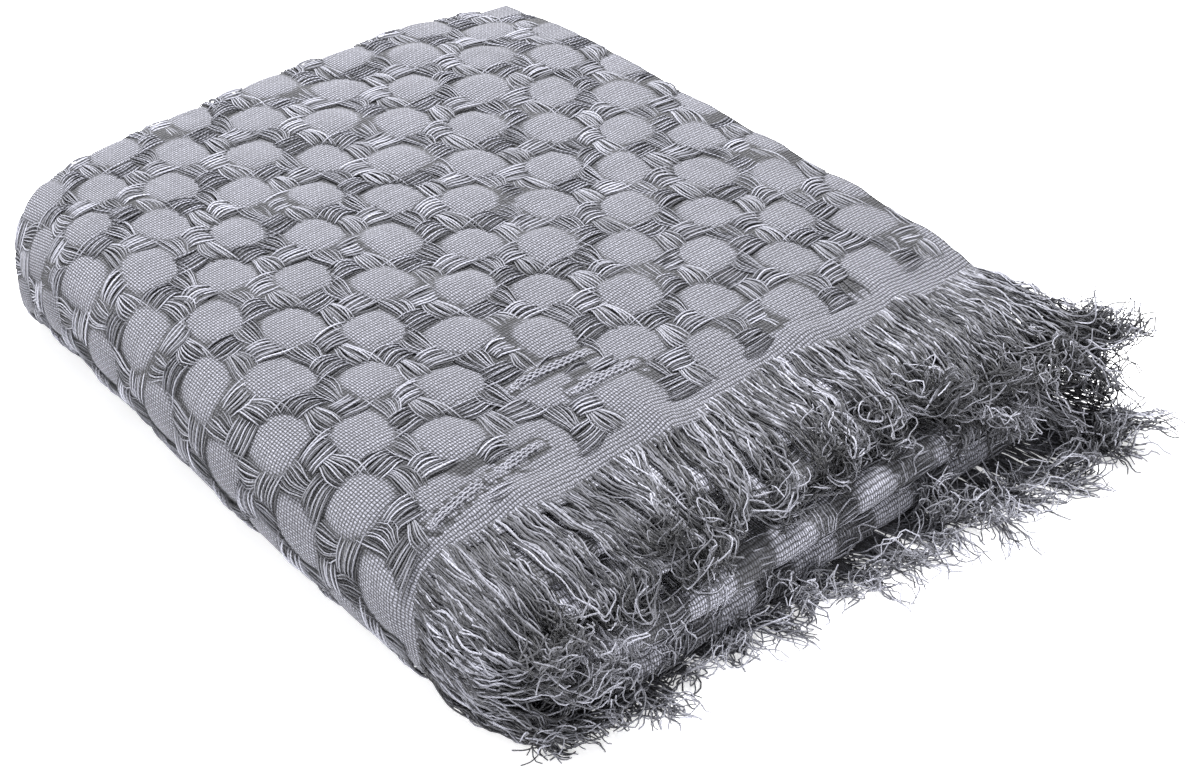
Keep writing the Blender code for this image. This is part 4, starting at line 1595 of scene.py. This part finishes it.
@dataclass
class Fringe:
    """A stretch of the cloth's loose warp ends: how many, the way they flow and how they wave and curl."""

    name: str
    legs: tuple[str, ...]
    count: int
    flows: tuple[tuple[float, ...], ...]
    seed: int
    nodes: int = 13
    points: int = 31
    tip_crowd: float = 0.88
    thickness: float = 0.00110
    # Where the yarns leave the cloth: on its upper face or under it, and how crowded.
    on_top: float = 0.50
    start_crowd: float = 0.0
    middle_thin: float = 0.0
    begin: Span = (0.0004, 0.0036)
    root: float = 0.006
    root_sink: float = 0.0016
    stand: float = 0.0003
    # Lengths, and how locks and single yarns stray from the flow.
    length: float = 1.0
    length_spread: float = 0.10
    lock_spread: float = 0.6
    length_limits: Span = (-2.5, 1.2)
    lock_size: tuple[int, int] = (10, 30)
    lock_pull: float = 0.55
    pull_along: Span = (0.10, 0.75)
    lock_stray: Vector = (0.0030, 0.0055, 0.0035)
    stray_power: float = 1.4
    yarn_stray: float = 0.0020
    pulled_stray: float = 0.8
    # The broad sway of a lock, and the mat that the yarns pile up to.
    sway: float = 0.0046
    sway_along: Span = (0.05, 0.6)
    sway_rates: Span = (0.9, 1.7)
    sway_sizes: Span = (0.4, 1.3)
    sway_stray: float = 0.25
    sway_lean: Vector = (0.35, 1.0, 0.3)
    out_side: Vector = (0.8, 0.0, 0.5)
    mat: float = 0.008
    mat_root: float = 0.0013
    mat_power: float = 0.8
    mat_pull: float = 0.5
    under_depth: float = 0.0026
    # Waves that a lock shares, fine crimps, and the curls of the tips, in radians.
    wave: float = 0.0018
    wave_along: Span = (0.02, 0.22)
    tip_wave: float = 0.0030
    tip_along: Span = (0.45, 1.0)
    wave_length: Span = (0.016, 0.027)
    wave_stray: float = 0.40
    pitch_stray: float = 0.10
    phase_stray: float = 0.35
    axis_stray: float = 0.35
    cross_wave: Span = (0.6, 0.77)
    crimp: float = 0.00055
    crimp_sizes: Span = (0.3, 1.5)
    crimp_length: Span = (0.0075, 0.0115)
    crimp_along: Span = (0.02, 0.10)
    crimp_cross: float = 1.1
    curl_share: float = 0.80
    curl_start: Span = (0.45, 0.75)
    curl_start_stray: float = 0.03
    curl_turn: Span = (1.6, 5.2)
    curl_stray: Span = (0.8, 1.2)
    curl_axis_stray: Span = (0.45, 0.12)
    # Girth and shade: tone that differs at random, painted shade by how deep a yarn lies in the mat and how
    # much yarn covers it, and painted light or shade over a whole stretch.
    girths: Span = (0.80, 1.12)
    girth_ripple: Span = (0.08, 0.6)
    tip_taper: float = 0.30
    tone: Span = (0.50, 0.26)
    lock_tone: float = 0.08
    most_tone: float = 1.1
    tip_tone: float = 0.10
    tip_tone_along: Span = (0.6, 1.0)
    painted_shade_depth: float = 1.3
    covered_painted_shade: float = 0.18
    under_painted_shade: float = 0.10
    brightness: float = 1.0

    def _places(self, shape: FoldShape) -> Array:
        """v of each yarn's root, crowded or thinned along the stretch."""
        low, high = shape.span(self.legs[0])[0], shape.span(self.legs[-1])[1]
        weft = np.interp((low, high), shape.path_knots, shape.weft_knots)
        along = np.linspace(0, 1, self.count) ** (1 + self.start_crowd)
        along = along - self.middle_thin * np.sin(TURN * along) / TURN
        along = weft[0] + 0.001 + (weft[1] - weft[0] - 0.0015) * along
        return np.interp(along, shape.weft_knots, shape.path_knots)

    def _way(self, v: Array) -> Array:
        """The flow's steps at each yarn, in metres from its root: yarns by steps by three."""
        table = np.array(self.flows) / 1000
        way = np.stack([np.interp(v, table[:, 0], column) for column in table[:, 1:].T], axis=-1)
        way = way.reshape(len(v), -1, 3)
        return np.concatenate([np.zeros((len(v), 1, 3)), way], axis=1)

    def start(self, shape: FoldShape) -> tuple[Array, ...]:
        """Lays the yarns along the flows, lock by lock.

        Args:
            shape: the folded cloth.

        Returns:
            The yarns' lines, the lock of each, and how far up in the mat each lies, from 0 to 1.
        """
        rng = np.random.default_rng(self.seed)
        v, count = self._places(shape), self.count
        lock = self._locks(rng)
        groups = lock.max() + 1
        guide = np.array([int(np.mean(np.flatnonzero(lock == k))) for k in range(groups)])[lock]
        face = np.where(rng.uniform(size=count) < self.on_top, 1.0, -1.0)
        begin = rng.uniform(*self.begin, count)
        lift = face * (shape.sheet / 2 * (shape.edge_sheet + 0.4) + self.stand) + shape.edge_rise(begin, v)
        edge = shape.lay(begin, v, lift)
        root = shape.lay(begin + self.root, v, lift - face * self.root_sink)
        normal = unit(shape.lay(begin, v, lift + 0.001) - edge)
        way = self._way(v)
        share = np.linspace(0, 1, self.nodes - 1)
        reach = 1 + self.length_spread * rng.normal(size=groups)[lock] * self.lock_spread
        reach = reach * (1 + self.length_spread * rng.normal(size=count).clip(*self.length_limits))
        t = self.length * share[None, :] * reach[:, None]
        offset = self._between(way, t * (way.shape[1] - 1))
        s = share[None, :, None]
        lock_stray = rng.normal(size=(groups, 1, 3)) * np.array(self.lock_stray)
        offset = offset + lock_stray[lock] * s**self.stray_power
        offset = offset + rng.normal(size=(count, 1, 3)) * self.yarn_stray * s
        phase = rng.uniform(0, TURN, (groups, 1, 1))[lock] + self.sway_stray * rng.normal(size=(count, 1, 1))
        rate = rng.uniform(*self.sway_rates, (groups, 1, 1))[lock]
        sway = np.sin(TURN * rate * s + phase) - np.sin(phase)
        size = rng.uniform(*self.sway_sizes, (groups, 1, 1))[lock] * self.sway
        offset = offset + size * sway * smoothstep(s, *self.sway_along) * np.array(self.sway_lean)
        out = normal[:, None, :] * (1 - s) + np.array(self.out_side) * s
        depth = rng.uniform(0, 1, (count, 1, 1)) ** self.mat_power
        thick = self.mat_root * smoothstep(s, 0.0, 0.06) + self.mat * smoothstep(s, 0.0, 0.8)
        offset = offset + out * depth * thick
        under = np.where(face < 0, rng.uniform(0, 1, count), 0.0)[:, None, None]
        ease = smoothstep(s, 0.0, 0.12)
        offset = offset - normal[:, None, :] * under * self.under_depth * ease * (1 - 0.6 * s)
        lines = edge[:, None, :] + offset
        pull = self.lock_pull * smoothstep(s, *self.pull_along)
        piled = out * (depth - depth[guide]) * self.mat * pull * self.mat_pull
        lines = lines * (1 - pull) + lines[guide] * pull + piled
        lines = lines + rng.normal(size=(count, 1, 3)) * self.yarn_stray * self.pulled_stray * pull
        return np.concatenate([root[:, None, :], lines], axis=1), lock, depth[:, 0, 0]

    @staticmethod
    def _between(way: Array, place: Array) -> Array:
        """Points of a smooth curve through each yarn's steps, and straight on past the last.

        Args:
            way: yarns by steps by three.
            place: yarns by points, counted in steps.

        Returns:
            The points, yarns by points by three.
        """
        last = way.shape[1] - 1
        base = np.clip(place.astype(int), 0, last - 1)
        t = np.minimum(place - base, 1.0)[..., None]
        row = np.arange(len(way))[:, None]
        a, b, c, d = (way[row, np.clip(base + k, 0, last)] for k in (-1, 0, 1, 2))
        curve = 2 * b + (c - a) * t + (2 * a - 5 * b + 4 * c - d) * t**2 + (3 * b - a - 3 * c + d) * t**3
        return 0.5 * curve + (way[:, -1:] - way[:, -2:-1]) * np.maximum(place - last, 0.0)[..., None]

    def _locks(self, rng: np.random.Generator) -> Array:
        """The lock that each yarn belongs to, numbered along the edge."""
        sizes = rng.integers(*self.lock_size, self.count)
        return np.repeat(np.arange(len(sizes)), sizes)[: self.count]

    def curled(self, lines: Array, lock: Array) -> tuple[Array, ...]:
        """Gives settled yarns their waves, crimps and curls.

        Args:
            lines: the yarns at rest.
            lock: the lock of each.

        Returns:
            Finer lines, girth and tone.
        """
        rng = np.random.default_rng(self.seed + 1)
        place = (lines.shape[1] - 1) * np.linspace(0, 1, self.points) ** self.tip_crowd
        fine = self._between(lines, place[None, :].repeat(self.count, 0))
        count, groups = self.count, lock.max() + 1
        steps = np.linalg.norm(np.diff(fine, axis=1), axis=-1)
        along = np.concatenate([np.zeros((count, 1)), np.cumsum(steps, axis=1)], axis=1)
        share = along / along[:, -1:]
        tangent = unit(np.gradient(fine, axis=1))
        axis = unit(rng.normal(size=(groups, 3)))[lock] + self.axis_stray * rng.normal(size=(count, 3))
        first = unit(np.cross(tangent, axis[:, None, :]))
        second = np.cross(tangent, first)
        size = self.wave * smoothstep(share, *self.wave_along)
        size = size + (self.tip_wave - self.wave) * smoothstep(share, *self.tip_along)
        size = size * rng.lognormal(0.0, self.wave_stray, (count, 1))
        pitch = rng.uniform(*self.wave_length, groups)[lock] * rng.lognormal(0.0, self.pitch_stray, count)
        phase = rng.uniform(0, TURN, groups)[lock] + self.phase_stray * rng.normal(size=count)
        turn = TURN * along / pitch[:, None] + phase[:, None]
        cross_size, cross_rate = self.cross_wave
        cross_turn = turn * cross_rate + rng.uniform(0, TURN, count)[:, None]
        fine = fine + first * (size * np.sin(turn))[..., None]
        fine = fine + second * (cross_size * size * np.cos(cross_turn))[..., None]
        crimps = TURN * along / rng.uniform(*self.crimp_length, (count, 1)) + rng.uniform(0, 6, (count, 1))
        crimp = self.crimp * rng.uniform(*self.crimp_sizes, (count, 1)) * smoothstep(share, *self.crimp_along)
        fine = fine + first * (crimp * np.sin(crimps))[..., None]
        fine = fine + second * (crimp * np.cos(self.crimp_cross * crimps))[..., None]
        fine = self._tips(fine, lock, rng)
        ripple, rate = self.girth_ripple
        girth = rng.uniform(*self.girths, (count, 1)) * (1 + ripple * np.sin(turn * rate))
        girth = girth * (1 - self.tip_taper * share**5)
        tone = rng.normal(*self.tone, count) + self.lock_tone * rng.normal(size=groups)[lock]
        tone = np.clip(tone, 0.0, self.most_tone)[:, None]
        return fine, girth, tone + self.tip_tone * smoothstep(share, *self.tip_tone_along)

    def _tips(self, fine: Array, lock: Array, rng: np.random.Generator) -> Array:
        """Turns the ends of the yarns into hooks and loose curls, much alike in one lock.

        Args:
            fine: the yarns.
            lock: the lock of each.
            rng: the chance.

        Returns:
            The curled yarns.
        """
        count, points = fine.shape[:2]
        groups = lock.max() + 1
        start = rng.uniform(*self.curl_start, groups)[lock] + self.curl_start_stray * rng.normal(size=count)
        share = np.linspace(0, 1, points)[None, :]
        rate = rng.uniform(*self.curl_turn, groups) * (rng.uniform(size=groups) < self.curl_share)
        rate = rate[lock] * rng.uniform(*self.curl_stray, count)
        angle = rate[:, None] * np.maximum(share - start[:, None], 0) / (1 - start[:, None])
        of_lock, of_yarn = self.curl_axis_stray
        axis = np.array(self.out_side) * rng.choice((-1, 1), groups)[:, None]
        axis = axis + of_lock * rng.normal(size=(groups, 3))
        axis = unit(axis[lock] + of_yarn * rng.normal(size=(count, 3)))[:, None, :]
        line = np.diff(fine, axis=1)
        a = angle[:, 1:, None]
        dot = (line * axis).sum(axis=-1, keepdims=True)
        turned = line * np.cos(a) + np.cross(axis, line) * np.sin(a) + axis * dot * (1 - np.cos(a))
        return np.concatenate([fine[:, :1], fine[:, :1] + np.cumsum(turned, axis=1)], axis=1)


# How the yarns of a stretch flow: v, and then x, y and z of four steps from the root, all in millimetres.
TOP_FLOWS = (
    (0, 26, 12, 10, 50, 21, 11, 71, 28, 3, 86, 32, -12),
    (15, 26, 9, 9, 49, 16, 8, 69, 23, -2, 82, 27, -18),
    (35, 25, 5, 6, 47, 10, 4, 63, 16, -8, 73, 21, -26),
    (60, 25, 3, 5, 46, 6, 2, 60, 10, -11, 66, 15, -28),
    (100, 22, -3, 7, 42, -2, 3, 53, 6, -10, 57, 13, -26),
    (150, 23, -3, 8, 43, 3, 5, 54, 11, -9, 58, 17, -28),
    (200, 23, -3, 8, 43, 3, 5, 54, 9, -8, 58, 17, -25),
    (236, 24, -6, 8, 44, -8, 7, 58, -6, -2, 62, -4, -20),
    (262, 24, -6, 7, 43, -8, 7, 57, -4, -1, 62, 0, -18),
    (300, 22, 2, 8, 42, 8, 6, 54, 18, -6, 58, 28, -30),
    (330, 22, 2, 7, 42, 7, 6, 54, 14, -4, 58, 22, -24),
    (360, 24, -4, 6, 46, -8, 8, 60, -6, 2, 66, 2, -10),
    (380, 30, -3, 4, 56, -3, 2, 74, 0, -8, 84, 8, -24),
    (395, 28, 1, 1, 53, 5, -6, 71, 14, -15, 79, 27, -24),
    (410, 26, 3, -3, 49, 10, -8, 66, 24, -15, 74, 40, -21),
    (425, 24, 4, -3, 45, 12, -6, 61, 26, -8, 68, 42, -9),
    (440, 23, 5, -3, 43, 13, -2, 58, 25, 1, 66, 38, 2),
    (470, 22, 2, 1, 42, 6, 4, 55, 13, 8, 62, 22, 10),
)
MIDDLE_FLOWS = (
    (818, 26, 4, 4, 50, 10, 8, 72, 16, 12, 88, 20, 16),
    (835, 26, 5, 5, 49, 10, 10, 70, 15, 13, 86, 18, 13),
    (853, 27, 6, 6, 51, 14, 10, 72, 22, 8, 88, 27, 2),
    (890, 20, 4, 4, 38, 10, 5, 52, 16, -3, 60, 20, -14),
    (930, 12, 0, 3, 21, 2, 4, 28, 4, 3, 32, 6, 1),
    (1025, 10, 0, 3, 17, 1, 4, 22, 2, 4, 25, 3, 3),
    (1130, 12, 0, 3, 21, 2, 4, 27, 4, 4, 30, 5, 2),
    (1180, 28, 0, 2, 50, 4, 0, 64, 10, -10, 68, 16, -27),
    (1215, 28, 0, 2, 50, 4, 2, 65, 12, -10, 70, 22, -30),
    (1255, 28, 0, 2, 50, 6, 4, 62, 14, -4, 66, 24, -20),
    (1310, 14, 0, 0, 24, 1, 0, 31, 2, 0, 35, 3, -1),
    (1412, 12, 0, 0, 22, 1, 0, 30, 2, 0, 34, 3, -1),
    (1480, 22, 2, 1, 42, 6, 2, 57, 10, -3, 64, 16, -12),
    (1550, 28, 2, 2, 54, 6, 3, 76, 10, 0, 92, 13, -8),
    (1591, 30, 5, 6, 58, 11, 12, 82, 16, 12, 102, 19, 5),
)
FLOOR_FLOWS = (
    (471, 24, 1, 1, 46, 4, 3, 63, 8, 5, 74, 12, 4),
    (514, 20, 0, 1, 38, 3, 4, 52, 8, 6, 62, 13, 5),
    (560, 20, 0, 1, 39, 3, 4, 54, 7, 6, 63, 12, 5),
    (644, 22, 0, 1, 43, 2, 4, 60, 5, 6, 73, 8, 5),
    (731, 23, 0, 1, 46, 2, 4, 65, 5, 6, 80, 8, 5),
    (780, 24, 1, 1, 48, 4, 4, 68, 8, 6, 84, 12, 5),
    (818, 26, 4, 1, 50, 12, 3, 72, 20, 5, 90, 27, 5),
)


@dataclass
class OuterFringe:
    """The outer fringe: its stretches groomed one after another, the lowest first, and given painted shade
    together by how much yarn covers each point.
    """

    shape: FoldShape
    stretches: list[Fringe]
    finish: Material
    pinned: int = 2
    rooted: int = 3
    passes: int = 3
    smoothing: float = 0.25
    far_reach: float = 0.230
    far_squeeze: float = 0.6
    painted_ranks: Span = (0.40, 0.88)
    top_painted_light: float = 1.15
    least_tone: float = 0.05
    open_painted_light: float = 1.06

    def _groomed(self, fringe: Fringe, drape: Drape, lying: Array) -> tuple[Array, ...]:
        """Settles, waves and curls the yarns of a stretch, and gives painted shade to those that lie low in the
        mat.

        Args:
            fringe: the stretch.
            drape: what the yarns settle on.
            lying: points of the yarns that already lie there.

        Returns:
            The yarns at rest, their finished lines, girth and tone.
        """
        lines, lock, depth = fringe.start(self.shape)
        lines = drape.settle(lines, self.pinned, lying)
        fine, girth, tone = fringe.curled(lines, lock)
        free = np.ones(fine.shape[1])
        free[: self.rooted] = 0
        for _ in range(self.passes):
            drape.clear(fine, free)
            drape.straighten(fine, free, self.smoothing)
        fine[..., 1] -= self.far_squeeze * np.maximum(fine[..., 1] - self.far_reach, 0.0)
        # Painted shade: yarns low in the mat are darkened, and those on top given painted light.
        painted_rank = fringe.under_painted_shade + (self.top_painted_light - fringe.under_painted_shade) * smoothstep(depth, *self.painted_ranks)
        return lines, fine, girth, tone * painted_rank[:, None]

    def build(self, sweep: YarnSweep) -> list[Piece]:
        """Makes the stretches with the given sweep, and returns a dressed piece for each."""
        plies = Plies(self.shape)
        plies.build()
        drape, grooms, lying, pieces = Drape(plies), [], np.zeros((0, 3)), []
        for fringe in self.stretches:
            lines, *groom = self._groomed(fringe, drape, lying)
            lying = np.concatenate([lying, lines.reshape(-1, 3)])
            grooms.append(groom)
        every = np.concatenate([fine.reshape(-1, 3) for fine, _, _ in grooms])
        for fringe, (fine, girth, tone) in zip(self.stretches, grooms):
            # Painted shade by how much yarn covers each point, and painted light or shade over the whole
            # stretch.
            painted_light = np.exp(-drape.cover(fine, every) / fringe.painted_shade_depth)
            painted_light = fringe.covered_painted_shade + (self.open_painted_light - fringe.covered_painted_shade) * painted_light
            tone = (tone + self.least_tone) * painted_light * fringe.brightness
            piece = sweep.sweep(fringe.name, fine, girth, tone, fringe.thickness, self.finish)
            dress(piece, "fringe_yarn", "outer_fringe")
            pieces.append(piece)
        return pieces


@dataclass
class HiddenFringe:
    """The loose ends of the warp edge that lies folded in, between the plies."""

    shape: FoldShape
    finish: Material
    seed: int = 71
    count: int = 280
    points: int = 6
    thickness: float = 0.0011
    length: float = 0.075
    lengths: Span = (0.86, 1.04)
    inset: float = 0.004
    side_inset: float = 0.003
    stray: float = 0.004
    wave: float = 0.0015
    wave_turn: float = 9
    lift: float = 0.0010
    girths: Span = (0.8, 1.1)
    tones: Span = (0.2, 0.8)

    def build(self, sweep: YarnSweep) -> Piece:
        """Makes the fringe with the given sweep, and returns the dressed piece."""
        rng = np.random.default_rng(self.seed)
        rows, width = (self.count, 1), self.shape.width
        share = np.linspace(0, 1, self.points)[None, :]
        edge = np.linspace(self.side_inset, width - self.side_inset, self.count)[:, None]
        stray = rng.normal(0, self.stray, rows) * share
        stray = stray + self.wave * np.sin(self.wave_turn * share + rng.uniform(0, 6, rows))
        v = np.clip(edge + stray, 0.001, width - 0.001)
        length = self.length * rng.uniform(*self.lengths, rows) + self.inset
        u = self.shape.cloth_length - self.inset + length * share
        lines = self.shape.lay(u, v, rng.uniform(-self.lift, self.lift, rows) * share)
        lines[..., 2] = np.maximum(lines[..., 2], self.thickness / 2)
        girth = np.broadcast_to(rng.uniform(*self.girths, rows), u.shape)
        tone = rng.uniform(*self.tones, rows)
        piece = sweep.sweep("hidden_fringe", lines, girth, tone, self.thickness, self.finish)
        dress(piece, "fringe_yarn", "inner_fringe")
        return piece


@dataclass
class TuckCords:
    """The weft yarns that stand up along each tuck."""

    shape: FoldShape
    weave: Weave
    finish: YarnFinish = YarnFinish("tuck_cotton", (0.235, 0.237, 0.274), spread=0.45)
    seed: int = 8
    cords: int = 3
    points: int = 72
    sides: int = 4
    thickness: float = 0.0015
    spacing: float = 0.058
    stray: float = 0.006
    end_stray: float = 0.08
    end_share: float = 0.12
    end_sink: float = 0.0012
    stand: float = 0.0003
    stitch: float = 0.0042
    stitch_height: float = 0.00045
    girth: Span = (0.45, 0.60)
    tones: Span = (0.35, 0.9)

    def _cord(self, tuck: Tuck, k: int, rng: np.random.Generator) -> tuple[Array, Array]:
        """One cord of a tuck.

        Args:
            tuck: the tuck.
            k: the cord's number across the tuck.
            rng: the chance.

        Returns:
            Its line and its girth.
        """
        t = np.linspace(0, 1, self.points)
        length = abs(tuck.end[1] - tuck.start[1]) * self.weave.weft_step
        away = (k - (self.cords - 1) / 2) * self.spacing
        stray = self.stray * np.sin(TURN * t * rng.uniform(1, 3) + rng.uniform(0, 6))
        ends = smoothstep(t, 0.0, self.end_share) * (1 - smoothstep(t, 1 - self.end_share, 1.0))
        i = tuck.start[0] + (tuck.end[0] - tuck.start[0]) * t + away * (0.5 + 0.5 * ends) + stray
        start = tuck.start[1] + rng.uniform(-self.end_stray, self.end_stray)
        end = tuck.end[1] + rng.uniform(-self.end_stray, self.end_stray)
        j = start + (end - start) * t
        stitches = np.sin(TURN * t * length / self.stitch + math.pi * k)
        lift = self.shape.sheet / 2 + self.weave.relief(i, j) + self.stand + self.stitch_height * stitches
        lift = lift - self.end_sink * (1 - ends)
        least, more = self.girth
        return self.shape.lay(*self.weave.place(i, j), lift), least + more * np.abs(stitches)

    def build(self, sweep: YarnSweep) -> Piece:
        """Makes the cords with the given sweep, and returns the dressed piece."""
        rng = np.random.default_rng(self.seed)
        cords = [self._cord(tuck, k, rng) for tuck in self.weave.tucks for k in range(self.cords)]
        lines, girth = (np.array(part) for part in zip(*cords))
        tone = rng.uniform(*self.tones, (len(lines), 1))
        finish = self.finish.material()
        piece = sweep.sweep("tuck_cords", lines, girth, tone, self.thickness, finish, self.sides)
        dress(piece, "throw_cotton")
        return piece


@dataclass(frozen=True)
class Lamp:
    """A soft square lamp: its place, its side in metres and its power in watts."""

    name: str
    place: Vector
    side: float
    power: float


@dataclass
class Studio:
    """The floor, the light and the camera."""

    eye: Vector = (0.8087, -0.7124, 0.7789)
    right: Vector = (0.683, 0.730, 0.006)
    up: Vector = (-0.431, 0.396, 0.811)
    lens: float = 70.05
    film: float = 36.0
    clip: Span = (0.05, 30.0)
    floor_half: float = 4.0
    brightness: float = 0.47
    aim: Vector = (0.0, 0.0, 0.04)
    lamps: tuple[Lamp, ...] = (
        Lamp("key", (-0.42, 0.08, 1.45), 0.55, 81.0),
        Lamp("fill", (-0.7, -1.5, 0.9), 1.0, 8.0),
        Lamp("front", (1.3, -0.8, 0.35), 0.7, 16.0),
    )

    @staticmethod
    def _placed(piece: Piece, turn: Array, place: Vector) -> Piece:
        """Puts an object at a place, with its three axes as the columns of its turn."""
        matrix = np.eye(4)
        matrix[:3, :3], matrix[:3, 3] = turn, place
        piece.matrix_world = Matrix(matrix.tolist())
        return piece

    def _camera(self) -> None:
        """Adds the camera and makes it the scene's."""
        data = bpy.data.cameras.new("view")
        data.lens, data.sensor_width = self.lens, self.film
        data.clip_start, data.clip_end = self.clip
        right = unit(np.array(self.right))
        up = unit(np.array(self.up) - right * (right @ np.array(self.up)))
        turn = np.column_stack([right, up, np.cross(right, up)])
        bpy.context.scene.camera = self._placed(added("view", data), turn, self.eye)

    def _light(self, lamp: Lamp) -> None:
        """Adds a lamp that points at the throw's middle."""
        data = bpy.data.lights.new(lamp.name, "AREA")
        data.size, data.energy = lamp.side, lamp.power
        back = unit(np.array(lamp.place) - np.array(self.aim))
        side = unit(np.cross(np.array((0.0, 0.0, 1.0)), back))
        turn = np.column_stack([side, np.cross(back, side), back])
        self._placed(added(lamp.name, data), turn, lamp.place)

    def _surround(self) -> None:
        """Lights the whole scene evenly with white."""
        world = bpy.data.worlds.new("surround")
        world.use_nodes = True
        ground = world.node_tree.nodes["Background"]
        ground.inputs["Color"].default_value = (1.0, 1.0, 1.0, 1.0)
        ground.inputs["Strength"].default_value = self.brightness
        bpy.context.scene.world = world
        bpy.context.scene.view_settings.view_transform = "Standard"

    def _floor(self) -> Piece:
        """Adds the floor, which the throw rests on."""
        half = self.floor_half
        mesh = bpy.data.meshes.new("floor")
        corners = [(-half, -half, 0), (half, -half, 0), (half, half, 0), (-half, half, 0)]
        mesh.from_pydata(corners, [], [(0, 1, 2, 3)])
        mesh.materials.append(PaleFloorFinish().material())
        return added("floor", mesh)

    def build(self) -> Piece:
        """Adds all of it and returns the floor."""
        self._camera()
        self._surround()
        for lamp in self.lamps:
            self._light(lamp)
        return self._floor()


def shown_regions(shape: FoldShape) -> list[Region]:
    """The parts of the cloth that show from outside."""
    top_end = shape.span("south_round")[1] + 0.01
    book = shape.span("book_fold")
    return [
        Region(Face.OUTER, (0.0, 2.0), (0.0, top_end)),
        Region(Face.OUTER, (0.95, 2.05), (top_end, shape.width)),
        Region(Face.OUTER, (0.0, 2.0), (book[0] - 0.012, book[1] + 0.006)),
        Region(Face.INNER, (2.90, 4.12), (0.0, shape.width)),
    ]


def fringes() -> list[Fringe]:
    """The outer fringe in its stretches, the lowest first."""
    lively = dict(
        sway=0.004, wave=0.0016, tip_wave=0.0026, wave_length=(0.012, 0.019), curl_share=0.95,
        curl_start=(0.35, 0.70), curl_turn=(2.5, 6.0), painted_shade_depth=3.5,
    )
    return [
        Fringe(
            "floor_fringe", ("bottom_front", "bottom_back"), 940, FLOOR_FLOWS, seed=31, nodes=11, points=22,
            length=1.12, mat=0.013, on_top=0.1, lock_size=(5, 15), lock_pull=0.32, yarn_stray=0.0040,
            lock_stray=(0.003, 0.006, 0.002), brightness=1.1, covered_painted_shade=0.50, under_painted_shade=0.60, **lively,
        ),
        Fringe(
            "middle_fringe", ("book_fold", "inner_lower", "inner_round", "inner_upper"), 760, MIDDLE_FLOWS,
            seed=41, nodes=11, points=23, mat=0.004, middle_thin=0.92, lock_pull=0.38,
            lock_stray=(0.003, 0.006, 0.003), brightness=1.1, under_painted_shade=0.36, **lively,
        ),
        Fringe(
            "top_fringe", ("top_back", "top_front"), 960, TOP_FLOWS, seed=51, start_crowd=0.62, brightness=0.94,
        ),
        Fringe(
            "round_fringe", ("south_round",), 420, TOP_FLOWS, seed=61, painted_shade_depth=3.0,
            lock_stray=(0.003, 0.003, 0.003),
        ),
    ]


def main() -> None:
    """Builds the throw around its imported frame."""
    logging.basicConfig(level=logging.INFO, format="%(name)s: %(message)s")
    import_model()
    shape, sweep = FoldShape(), YarnSweep()
    weave = Weave(shape)
    regions = shown_regions(shape)
    cloth = ThrowCloth(shape, weave, regions).build()
    extras = FloatYarns(shape, weave, regions).build(sweep)
    extras.append(TuckCords(shape, weave).build(sweep))
    loose = YarnFinish("fringe_cotton", (0.190, 0.192, 0.222), spread=0.95).material()
    extras += OuterFringe(shape, fringes(), loose).build(sweep)
    extras.append(HiddenFringe(shape, loose).build(sweep))
    Studio().build()


if __name__ == "__main__":
    main()
